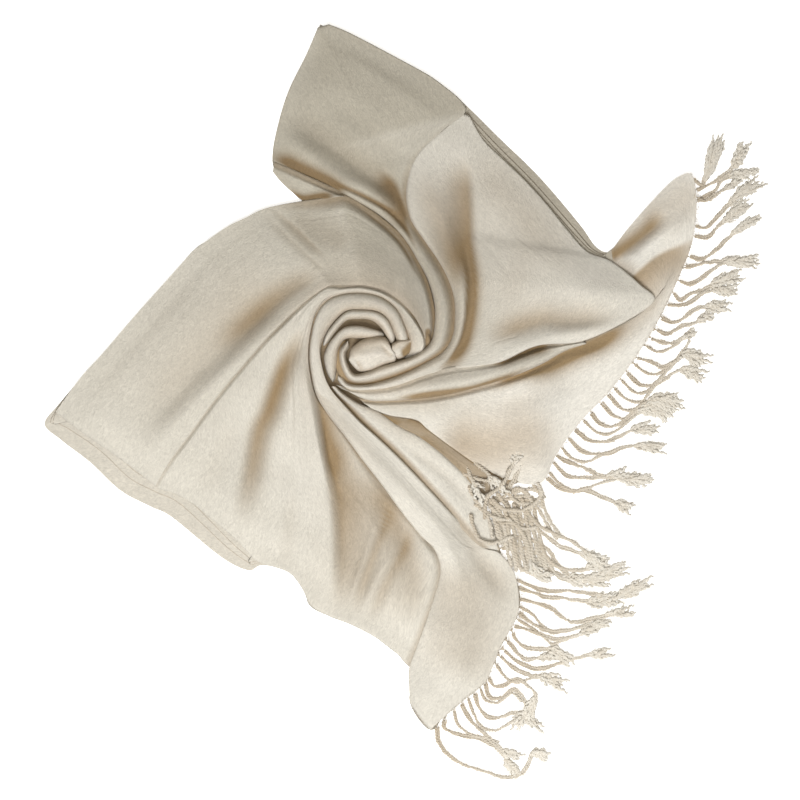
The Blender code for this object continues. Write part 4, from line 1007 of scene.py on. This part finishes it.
def tube_rings(paths, radii, sides):
    """Vertices and faces of tubes along many paths of equal length at once, which taper at each end.

    Each ring is a circle in the plane of the sideways and upward vectors of its path."""
    heading = unit(np.gradient(paths, axis=1))
    side = unit(sideways(heading))
    upward = np.cross(side, heading)
    turn = np.linspace(0.0, 2.0 * np.pi, sides, endpoint=False)
    ring = side[:, :, None] * np.cos(turn)[:, None] + upward[:, :, None] * np.sin(turn)[:, None]
    verts = paths[:, :, None] + ring * radii[:, :, None, None]
    count, steps = paths.shape[:2]
    number = np.arange(count * steps * sides).reshape(count, steps, sides)
    after = np.roll(number, -1, axis=2)
    faces = np.stack((number[:, :-1], after[:, :-1], after[:, 1:], number[:, 1:]), axis=-1)
    return verts.reshape(-1, 3), faces.reshape(-1, 4)


class FringeMesh:
    """Collects the tubes of one fringe, and makes them one mesh."""

    def __init__(self):
        self.verts, self.faces, self.tones, self.total = [], [], [], 0

    def add(self, paths, radii, tones, sides):
        """Tubes along paths (count x steps x 3) with a radius and a tone at each step, or one for all."""
        radii, tones = (np.broadcast_to(values, paths.shape[:2]) for values in (radii, tones))
        verts, faces = tube_rings(paths, radii, sides)
        self.verts.append(verts)
        self.faces.append(faces + self.total)
        self.tones.append(np.repeat(tones.reshape(-1), sides))
        self.total += len(verts)

    def make(self, name):
        verts = np.vstack(self.verts)
        verts[:, 2] = np.maximum(verts[:, 2], YARN_FLOOR)
        # On the yarn the same mask holds the fray tone, paler towards the tips.
        tones = {"shade_and_fray": np.concatenate(self.tones)}
        return mesh_object(name, verts, np.vstack(self.faces), tones, FRINGE_YARN)


def twisted_cord(fringe, path, dice, radius=CORD_RADIUS, tone_span=CORD_TONES):
    """Two yarns wound round each other along a path: each is the path plus a turning offset of one radius."""
    line = resample(path, CORD_STEP)
    run = np.arange(len(line)) * CORD_STEP
    heading = unit(np.gradient(line, axis=0))
    side = sideways(heading)
    upward = np.cross(side, heading)
    phase = 2.0 * np.pi * run / TWIST + dice.uniform(0.0, TURN)
    thin = radius * (0.9 + 0.15 * np.sin(run * dice.uniform(0.2, 0.5) + dice.uniform(0.0, TURN)))
    turns = phase[None, :, None] + np.array((0.0, np.pi))[:, None, None]
    offset = side[None] * np.cos(turns) + upward[None] * np.sin(turns)
    plies = line[None] + offset * (PLY_OFFSET * thin)[None, :, None]
    ends = np.clip(np.minimum(run, run[::-1]) / 1.5, 0.15, 1.0)
    fringe.add(plies, thin * ends, np.linspace(*tone_span, len(line)), YARN_SIDES)


def frayed_tuft(fringe, path, dice, locks, spread, reach):
    """Crimped locks that leave a cord before its end and fan out past it, matted flat on the floor.

    Each lock is the cord's last stretch plus a sideways drift that grows with its run and a crimp wave, and
    fine hairs stand off round it."""
    line = resample(path, CORD_STEP)
    last = len(line) - 1
    heading = unit(line[-1] - line[-4])
    back = min(last, int(0.7 * reach / CORD_STEP) + 2)
    count = int(LOCK_SHARE * locks)

    def each(low, high):
        return dice.uniform(low, high, count)[:, None]

    for steps, thick, wide, long, sides in TUFT_KINDS:
        share = np.linspace(0.0, 1.0, steps)[None, :]
        start = each(0.0, 0.9)
        run = reach * each(0.4, 0.85) * long * share
        place = last - back + start * back + run / CORD_STEP
        base = points_at(line, np.arange(len(line)), np.clip(place, 0.0, last))
        past = np.maximum(place - last, 0.0) * CORD_STEP
        drift = each(-1.25, 1.25) * TUFT_SPREAD * spread * wide * share**0.6
        crimp = each(0.5, 1.3) * np.sin(run / each(0.8, 1.4) + each(0.0, TURN))
        bob = 0.35 * np.sin(run / each(0.5, 0.9) + each(0.0, TURN))
        away = drift + crimp * np.minimum(4.0 * share, 1.0)
        paths = base + heading * past[..., None] + sideways(heading) * away[..., None]
        paths[..., 2] += bob + each(0.0, 2.2) * np.sin(np.pi * share**0.7) - 0.3 * share
        lumps = 1.0 + 0.22 * np.sin(run / 0.8 + each(0.0, TURN))
        body = np.interp(share, *LOCK_BODY)
        tones = np.clip(0.7 + 0.35 * share + each(-0.2, 0.1), 0.0, 1.0)
        fringe.add(paths, thick * body * lumps, tones, sides)


def cord_fuzz(fringe, path, dice, per_length=FUZZ_PER_LENGTH):
    """Short hairs that stand off a cord all along it: each starts on its line and bends away to one side."""
    line = resample(path, 1.0)
    count = max(int(per_length * len(line)), 4)
    index = dice.integers(1, len(line) - 1, count)
    ahead = unit(line[index + 1] - line[index - 1])
    side = sideways(ahead) * dice.choice((-1.0, 1.0), count)[:, None]
    share = np.linspace(0.0, 1.0, 4)[None, :, None]
    length = dice.uniform(2.0, 4.5, count)[:, None, None]
    lean = dice.uniform(0.3, 1.1, count)[:, None, None]
    paths = line[index][:, None] + (side[:, None] * lean * share**1.4 + ahead[:, None] * share) * length
    paths[..., 2] += 0.6 * np.sin(np.pi * share[..., 0])
    fringe.add(paths, FUZZ_RADIUS, dice.uniform(0.4, 0.9, count)[:, None], HAIR_SIDES)


def companion(path, dice):
    """A second line that wanders close beside a cord's own, now on one side of it and now on the other."""
    share = np.linspace(0.0, 1.0, len(path))[:, None]
    side = sideways(unit(np.gradient(path, axis=0)))
    sway = np.sin(2.0 * np.pi * dice.uniform(0.6, 1.3) * share + dice.uniform(0.0, TURN))
    return path + side * sway * COMPANION_AWAY + (0.0, 0.0, 0.5)


def root_yarns(fringe, at, heading, dice):
    """The loose lengthwise threads between the woven edge and a cord's start, drawn together like a small
    fan.
    """
    share = np.linspace(0.0, 1.0, 5)[None, :]
    spread = np.linspace(-ROOT_HALF_WIDTH, ROOT_HALF_WIDTH, ROOT_COUNT) + dice.uniform(-0.4, 0.4, ROOT_COUNT)
    spread = spread[:, None]
    reach = -ROOT_LENGTH * (1.0 - share)
    paths = at + heading * reach[..., None] + sideways(heading) * (spread * (1.0 - share) ** 1.4)[..., None]
    paths[..., 2] += 0.8 * (1.0 - share)
    fringe.add(paths, ROOT_RADIUS, 0.05, LOCK_SIDES)


def edge_fuzz(fringe, edge, dice, count, level):
    """Short loose fibres along a woven edge: each starts on the edge and bends outwards over the fringe."""
    line = resample(smooth_path(edge, 6), 1.0)
    index = dice.uniform(1, len(line) - 2, count).astype(int)
    along = unit(line[index + 1] - line[index])[:, None]
    outward = np.stack((-along[..., 1], along[..., 0]), axis=-1)
    share = np.linspace(0.0, 1.0, 6)[None, :, None]
    length = dice.uniform(2.0, 7.0, count)[:, None, None]
    bend = dice.normal(0.0, 0.6, count)[:, None, None]
    plan = line[index][:, None] + outward * (length * share - 1.5) + along * bend * length * share**2
    z = np.broadcast_to(level * (1.0 - 0.75 * share[..., 0]), plan.shape[:2])
    fringe.add(np.dstack((plan, z)), EDGE_FUZZ_RADIUS, 0.3, HAIR_SIDES)


def make_fringe(name, edge, strands, level, seed):
    """One fringe: for each strand its root threads, twisted cord and tuft, and fuzz along the edge.

    A cord falls from the woven edge to the floor by shares of its length, over what it lies on."""
    dice = np.random.default_rng(seed)
    fringe = FringeMesh()
    for tuft, reach, spread, high, *bends in strands:
        plan = table_path(bends)
        share = np.linspace(0.0, 1.0, len(plan))
        z = CORD_FLOOR + np.interp(share, *CORD_HEIGHT) + high * np.interp(share, *OVERLAP_SHARE)
        wobble = dice.normal(0.0, CORD_WOBBLE, (len(plan), 2)) * np.sin(np.pi * share)[:, None]
        path = np.column_stack((plan + wobble, z))
        twisted_cord(fringe, path, dice)
        cord_fuzz(fringe, path, dice)
        if tuft:
            twisted_cord(fringe, companion(path, dice), dice, COMPANION_RADIUS)
        root_yarns(fringe, path[0], unit((path[1] - path[0]) * (1.0, 1.0, 0.0)), dice)
        if tuft:
            frayed_tuft(fringe, path, dice, tuft, spread, reach)
    edge_fuzz(fringe, edge, dice, EDGE_FUZZ_COUNT, level)
    return fringe.make(name)


UPPER_EDGE = (
    # x, y
    (290, 226), (296, 209), (297, 193), (291, 155), (276, 117), (258, 79), (235, 42), (208, 7),
    (180, -22), (156, -55), (144, -82),
)
UPPER_STRANDS = (
    # locks in the tuft, its reach, its spread, height over the floor, then x, y of each bend
    (90, 36, 2.6, 1.0, 292, 222, 302, 214, 305, 221, 309, 231, 313, 243),
    (50, 22, 2.2, 0.5, 296, 210, 308, 215, 318, 220, 330, 228, 336, 238, 340, 246),
    (46, 22, 1.8, 0.0, 297, 198, 306, 203, 315, 210, 322, 220, 333, 225, 345, 226),
    (30, 14, 1.6, 1.8, 297, 202, 306, 199, 314, 203, 322, 210, 334, 217),
    (64, 32, 2.4, 0.0, 295, 174, 305, 172, 315, 182, 326, 194, 336, 203, 345, 209),
    (54, 28, 2.2, 0.6, 294, 164, 308, 164, 316, 172, 327, 180, 338, 190),
    (54, 26, 2.0, 0.0, 289, 143, 300, 140, 312, 147, 322, 157, 335, 168, 346, 176),
    (44, 22, 1.8, 0.4, 284, 132, 295, 134, 306, 138, 322, 139, 338, 138),
    (54, 26, 2.4, 0.8, 279, 119, 290, 115, 303, 122, 315, 132, 326, 137, 342, 138),
    (54, 26, 2.4, 0.0, 273, 107, 280, 99, 290, 106, 305, 112, 316, 117, 328, 121),
    (44, 22, 2.2, 0.6, 267, 95, 280, 95, 292, 100, 305, 108, 326, 110),
    (44, 22, 2.4, 0.0, 261, 83, 275, 78, 288, 85, 300, 92, 320, 93),
    (30, 16, 2.0, 0.6, 256, 70, 268, 67, 280, 72, 292, 76, 308, 84),
    (24, 12, 1.4, 0.0, 251, 62, 262, 57, 274, 58, 290, 66),
    (0, 0, 0.0, 0.0, 246, 54, 258, 48, 270, 52, 284, 62, 292, 72),
    (60, 26, 3.0, 1.4, 237, 42, 250, 38, 262, 32, 274, 38, 284, 46, 296, 42),
    (0, 0, 0.0, 0.4, 234, 36, 246, 27, 258, 26, 268, 33, 282, 48, 290, 60),
    (44, 20, 2.6, 0.0, 227, 28, 240, 16, 252, 14, 264, 20, 280, 30, 294, 26),
    (0, 0, 0.0, 0.8, 221, 20, 234, 8, 246, 8, 258, 20, 270, 32, 282, 44),
    (0, 0, 0.0, 0.0, 214, 12, 226, 1, 240, -2, 250, 8, 262, 22),
    (70, 28, 3.6, 1.0, 207, 5, 220, -8, 232, -10, 242, -4, 254, 0, 268, -2),
    (50, 24, 3.2, 0.0, 200, -3, 212, -15, 224, -18, 236, -12, 248, -6, 264, -12),
    (70, 28, 3.4, 0.6, 191, -12, 202, -24, 214, -26, 226, -20, 238, -10, 256, -8),
    (0, 0, 0.0, 1.4, 183, -20, 196, -32, 208, -34, 220, -28, 232, -18, 244, -10),
    (40, 22, 2.6, 0.0, 175, -29, 190, -40, 206, -42, 218, -38, 232, -30, 246, -28),
    (40, 24, 2.2, 0.4, 168, -38, 180, -51, 194, -54, 210, -52, 226, -46, 250, -47),
    (0, 0, 0.0, 0.0, 161, -47, 172, -58, 186, -62, 200, -56, 216, -50),
    (60, 26, 2.8, 0.8, 156, -55, 170, -62, 184, -68, 198, -76, 216, -78, 238, -80),
    (30, 20, 2.2, 0.0, 153, -62, 166, -74, 180, -78, 198, -78, 220, -74),
    (0, 0, 0.0, 0.6, 149, -72, 160, -84, 172, -90, 186, -88, 204, -82, 216, -80),
    (36, 16, 2.2, 0.0, 146, -78, 158, -88, 172, -92, 186, -90, 204, -97, 226, -107),
)
upper_fringe = make_fringe("upper_fringe_cords", UPPER_EDGE, UPPER_STRANDS, level=6.0, seed=61)
dress(upper_fringe, "fringe_cord", "upper_fringe")
declare(upper_end, ("upper_end",))

# Second fringe, along the lower end's woven edge. Its longest cord curves under the lowest corner, and where
# the two ends meet its threads are matted over the cloth with those of the first fringe.
LOWER_EDGE = (
    # x, y
    (84, -100), (93, -124), (101, -152), (116, -175), (119, -212), (102, -245), (95, -263),
    (85, -283), (60, -303), (34, -329),
)
LOWER_STRANDS = (
    # locks in the tuft, its reach, its spread, height over the floor, then x, y of each bend
    (44, 18, 1.6, 4.5, 86, -104, 100, -100, 108, -88, 116, -74, 121, -66, 125, -56),
    (40, 26, 2.6, 1.5, 92, -120, 108, -118, 126, -122, 142, -132, 158, -144, 178, -152, 196, -160),
    (60, 30, 2.6, 0.6, 98, -136, 114, -136, 132, -140, 148, -150, 156, -164, 172, -178, 190, -178, 211, -172),
    (40, 22, 2.4, 1.2, 101, -148, 118, -146, 134, -152, 148, -162, 158, -176, 176, -180),
    (44, 26, 3.0, 0.0, 107, -160, 122, -158, 140, -164, 156, -172, 172, -182, 196, -180),
    (60, 34, 2.6, 0.6, 116, -180, 132, -186, 148, -190, 170, -191, 195, -195, 215, -198, 236, -188),
    (50, 26, 2.8, 0.0, 117, -188, 130, -192, 146, -196, 164, -198, 186, -202, 206, -200),
    (30, 24, 2.2, 0.4, 119, -198, 135, -203, 150, -209, 162, -217, 174, -222, 195, -217, 222, -212),
    (0, 0, 0.0, 0.0, 119, -206, 132, -214, 139, -222, 148, -230, 162, -231, 180, -227, 196, -218),
    (40, 20, 1.8, 0.5, 118, -213, 130, -222, 142, -228, 155, -231, 172, -229, 188, -226, 201, -223),
    (0, 0, 0.0, 0.0, 117, -219, 130, -227, 142, -235, 152, -244, 164, -240, 180, -235),
    (30, 16, 1.6, 0.6, 114, -225, 126, -229, 140, -235, 155, -240, 170, -237, 190, -230),
    (40, 24, 2.4, 0.0, 112, -232, 116, -240, 124, -246, 136, -248, 150, -249, 162, -256),
    (30, 18, 2.0, 0.8, 107, -241, 116, -252, 126, -258, 138, -258, 150, -255),
    (36, 20, 1.8, 0.0, 104, -250, 116, -260, 136, -268, 156, -264, 178, -258, 203, -253),
    (40, 24, 2.8, 0.4, 100, -256, 112, -266, 128, -274, 142, -276, 154, -281),
    (0, 0, 0.0, 0.0, 96, -264, 106, -278, 118, -282, 132, -278, 148, -278),
    (44, 22, 2.4, 0.8, 89, -277, 94, -286, 104, -286, 116, -280, 128, -286, 136, -296, 130, -310),
    (36, 20, 2.2, 0.0, 86, -282, 90, -296, 100, -298, 112, -290, 120, -296, 126, -308, 119, -320),
    (0, 0, 0.0, 0.8, 80, -288, 86, -300, 98, -302, 112, -293, 122, -302),
    (36, 20, 2.4, 0.0, 74, -293, 78, -306, 88, -316, 100, -317, 116, -314, 134, -322),
    (0, 0, 0.0, 0.0, 68, -298, 74, -314, 82, -327, 96, -330, 108, -324, 120, -316),
    (30, 18, 2.0, 0.6, 62, -303, 70, -318, 80, -330, 92, -342, 104, -352, 113, -356),
    (0, 0, 0.0, 0.0, 54, -310, 58, -324, 72, -335, 86, -338, 100, -342),
    (40, 18, 2.2, 0.0, 44, -319, 44, -328, 56, -333, 80, -338, 100, -352, 108, -362, 113, -370),
    (50, 16, 2.0, 0.3, 36, -326, 38, -342, 50, -357, 65, -365, 84, -371, 105, -377, 120, -373, 127, -364,
     133, -351, 141, -354),
)
lower_fringe = make_fringe("lower_fringe_cords", LOWER_EDGE, LOWER_STRANDS, level=7.0, seed=67)
dress(lower_fringe, "fringe_cord", "lower_fringe")
declare(lower_end, ("lower_end",))

# Tangle. In the corner between the two ends, fringe cords of the layers below lie matted over each other,
# some of them turned up on the cloth.
TANGLE_FLOOR = 1.4
TANGLE_WOBBLE = 0.4
TANGLE_TONES = (0.15, 0.6)
TANGLE_FUZZ = 1.0
TANGLE_SPREAD = 2.4
TANGLE_REACH = 20.0
CLOTH_RISE = ((92.0, 120.0), (5.0, 0.0))
TANGLE_CORDS = (
    # locks in the tuft, radius of a yarn, height over the floor, then x, y of each bend
    (0, 1.4, 1.0, 88, -98, 100, -112, 104, -128, 112, -146, 124, -160, 132, -176),
    (0, 1.4, 2.0, 96, -92, 108, -108, 118, -124, 126, -142, 134, -160, 140, -178),
    (0, 1.4, 0.5, 108, -88, 120, -100, 128, -118, 136, -138, 142, -160, 150, -182),
    (0, 1.3, 1.5, 118, -86, 130, -98, 140, -112, 150, -130, 158, -140),
    (0, 1.3, 2.5, 132, -84, 140, -94, 144, -108, 152, -124, 160, -134),
    (0, 1.5, 4.5, 91, -97, 98, -105, 106, -109, 125, -109, 137, -100, 141, -92, 137, -82),
    (26, 1.5, 6.0, 84, -119, 87, -97, 101, -85, 113, -63, 119, -52),
    (0, 1.3, 3.0, 70, -114, 77, -136, 89, -143, 99, -141, 113, -136),
    (18, 1.2, 5.0, 73, -61, 87, -73, 99, -87),
    (0, 1.2, 4.0, 62, -73, 84, -80, 106, -82),
    (0, 1.3, 2.0, 96, -121, 101, -136, 99, -145),
    (20, 1.4, 3.0, 106, -116, 125, -136, 130, -157, 135, -170),
    (30, 1.4, 3.5, 125, -109, 140, -126, 154, -133, 174, -143, 193, -157),
    (26, 1.4, 2.5, 113, -136, 116, -155, 123, -170, 145, -177),
    (30, 1.4, 1.5, 140, -141, 147, -157, 159, -167, 179, -170, 200, -165),
    (0, 1.4, 1.8, 104, -108, 108, -128, 112, -150, 117, -170),
    (0, 1.4, 1.2, 109, -104, 113, -126, 117, -149, 122, -172),
    (0, 1.4, 2.2, 113, -102, 118, -124, 121, -148, 127, -174),
    (0, 1.4, 1.0, 118, -100, 122, -123, 127, -147, 131, -172),
    (0, 1.4, 2.4, 122, -98, 127, -122, 131, -146, 136, -175),
    (0, 1.4, 1.4, 127, -97, 131, -120, 136, -144, 142, -172),
    (0, 1.4, 0.8, 98, -104, 103, -126, 107, -150, 112, -168),
    (0, 1.5, 0.4, 90, -100, 94, -114, 96, -130, 104, -146),
    (0, 1.5, 0.6, 94, -100, 97, -116, 101, -132, 108, -150),
    (0, 1.4, 1.6, 78, -92, 88, -104, 96, -112, 104, -126, 106, -142),
    (0, 1.4, 2.8, 74, -104, 86, -112, 98, -118, 112, -120),
    (0, 1.3, 3.4, 68, -86, 74, -98, 84, -108, 90, -124, 92, -138),
    (0, 1.4, 1.0, 132, -96, 136, -118, 141, -142, 147, -170),
    (0, 1.4, 0.4, 106, -100, 110, -118, 108, -136, 114, -156, 116, -172),
    (0, 1.4, 0.4, 115, -100, 118, -118, 124, -140, 127, -158, 134, -176),
    (0, 1.4, 0.6, 124, -96, 129, -114, 126, -134, 134, -154, 140, -172),
    (0, 1.3, 3.0, 100, -124, 112, -122, 124, -128, 138, -126),
    (16, 1.3, 5.0, 66, -66, 72, -80, 80, -94),
    (0, 1.4, 1.6, 98, -90, 110, -93, 122, -90, 136, -90, 146, -98),
    (0, 1.4, 0.8, 92, -97, 106, -99, 120, -96, 134, -99, 144, -108),
    (0, 1.4, 2.2, 104, -84, 112, -98, 124, -104, 138, -100),
    (0, 1.3, 2.6, 108, -96, 116, -88, 126, -92, 132, -104, 128, -116),
)
dice = np.random.default_rng(71)
tangle = FringeMesh()
for locks, radius, over, *bends in TANGLE_CORDS:
    plan = table_path(bends)
    plan = plan + dice.normal(0.0, TANGLE_WOBBLE, plan.shape)
    on_cloth = np.interp(plan[:, 0], *CLOTH_RISE)
    path = np.column_stack((plan, TANGLE_FLOOR + over + on_cloth))
    twisted_cord(tangle, path, dice, radius, TANGLE_TONES)
    cord_fuzz(tangle, path, dice, TANGLE_FUZZ)
    if locks:
        frayed_tuft(tangle, path, dice, locks, TANGLE_SPREAD, TANGLE_REACH)
fringe_tangle = tangle.make("fringe_tangle")
dress(fringe_tangle, "fringe_cord")

# Floor and light. The stole lies on a plain white floor, lit by a wide warm light from above and a key from
# below the picture, and the camera looks straight down from three metres, so that 0.8 m of floor fills it.
FLOOR_SIZE = 8.0
CAMERA_HEIGHT = 3.0
VIEW_WIDTH = 0.8
SENSOR_WIDTH = 36.0
LIGHTS = (
    # name, place, width, watts, colour
    ("key", (-0.3, -1.25, 1.95), 1.1, 54.0, (1.0, 1.0, 1.0)),
    ("top fill", (0.15, 0.0, 2.9), 1.4, 16.0, (1.0, 0.95, 0.88)),
)
bpy.ops.mesh.primitive_plane_add(size=FLOOR_SIZE)
floor = bpy.context.object
floor.name = "floor"
floor_finish, floor_tree, floor_shader = blank_finish("pale floor")
connect(floor_tree, floor_shader, {
    "Base Color": (0.95, 0.95, 0.95, 1.0), "Emission Color": (1.0, 1.0, 1.0, 1.0), "Emission Strength": 0.6,
    "Roughness": 0.9, "Specular IOR Level": 0.1,
})
floor.data.materials.append(floor_finish)
stage = bpy.context.scene
for light_name, place, size, watts, tone in LIGHTS:
    lamp = bpy.data.lights.new(light_name, "AREA")
    lamp.energy = watts
    lamp.size = size
    lamp.color = tone
    holder = bpy.data.objects.new(light_name, lamp)
    holder.location = place
    away = np.array(place) / np.linalg.norm(place)
    holder.rotation_euler = (np.arccos(away[2]), 0.0, np.arctan2(away[1], away[0]) + np.pi / 2)
    stage.collection.objects.link(holder)
studio = bpy.data.worlds.new("studio")
studio.use_nodes = True
air = studio.node_tree.nodes["Background"]
connect(studio.node_tree, air, {"Color": (1.0, 0.93, 0.82, 1.0), "Strength": 0.24})
stage.world = studio
stage.view_settings.view_transform = "Standard"
lens = bpy.data.cameras.new("camera")
lens.sensor_width = SENSOR_WIDTH
lens.lens = SENSOR_WIDTH * CAMERA_HEIGHT / VIEW_WIDTH
camera = bpy.data.objects.new("camera", lens)
camera.location = (0.0, 0.0, CAMERA_HEIGHT)
stage.collection.objects.link(camera)
stage.camera = camera
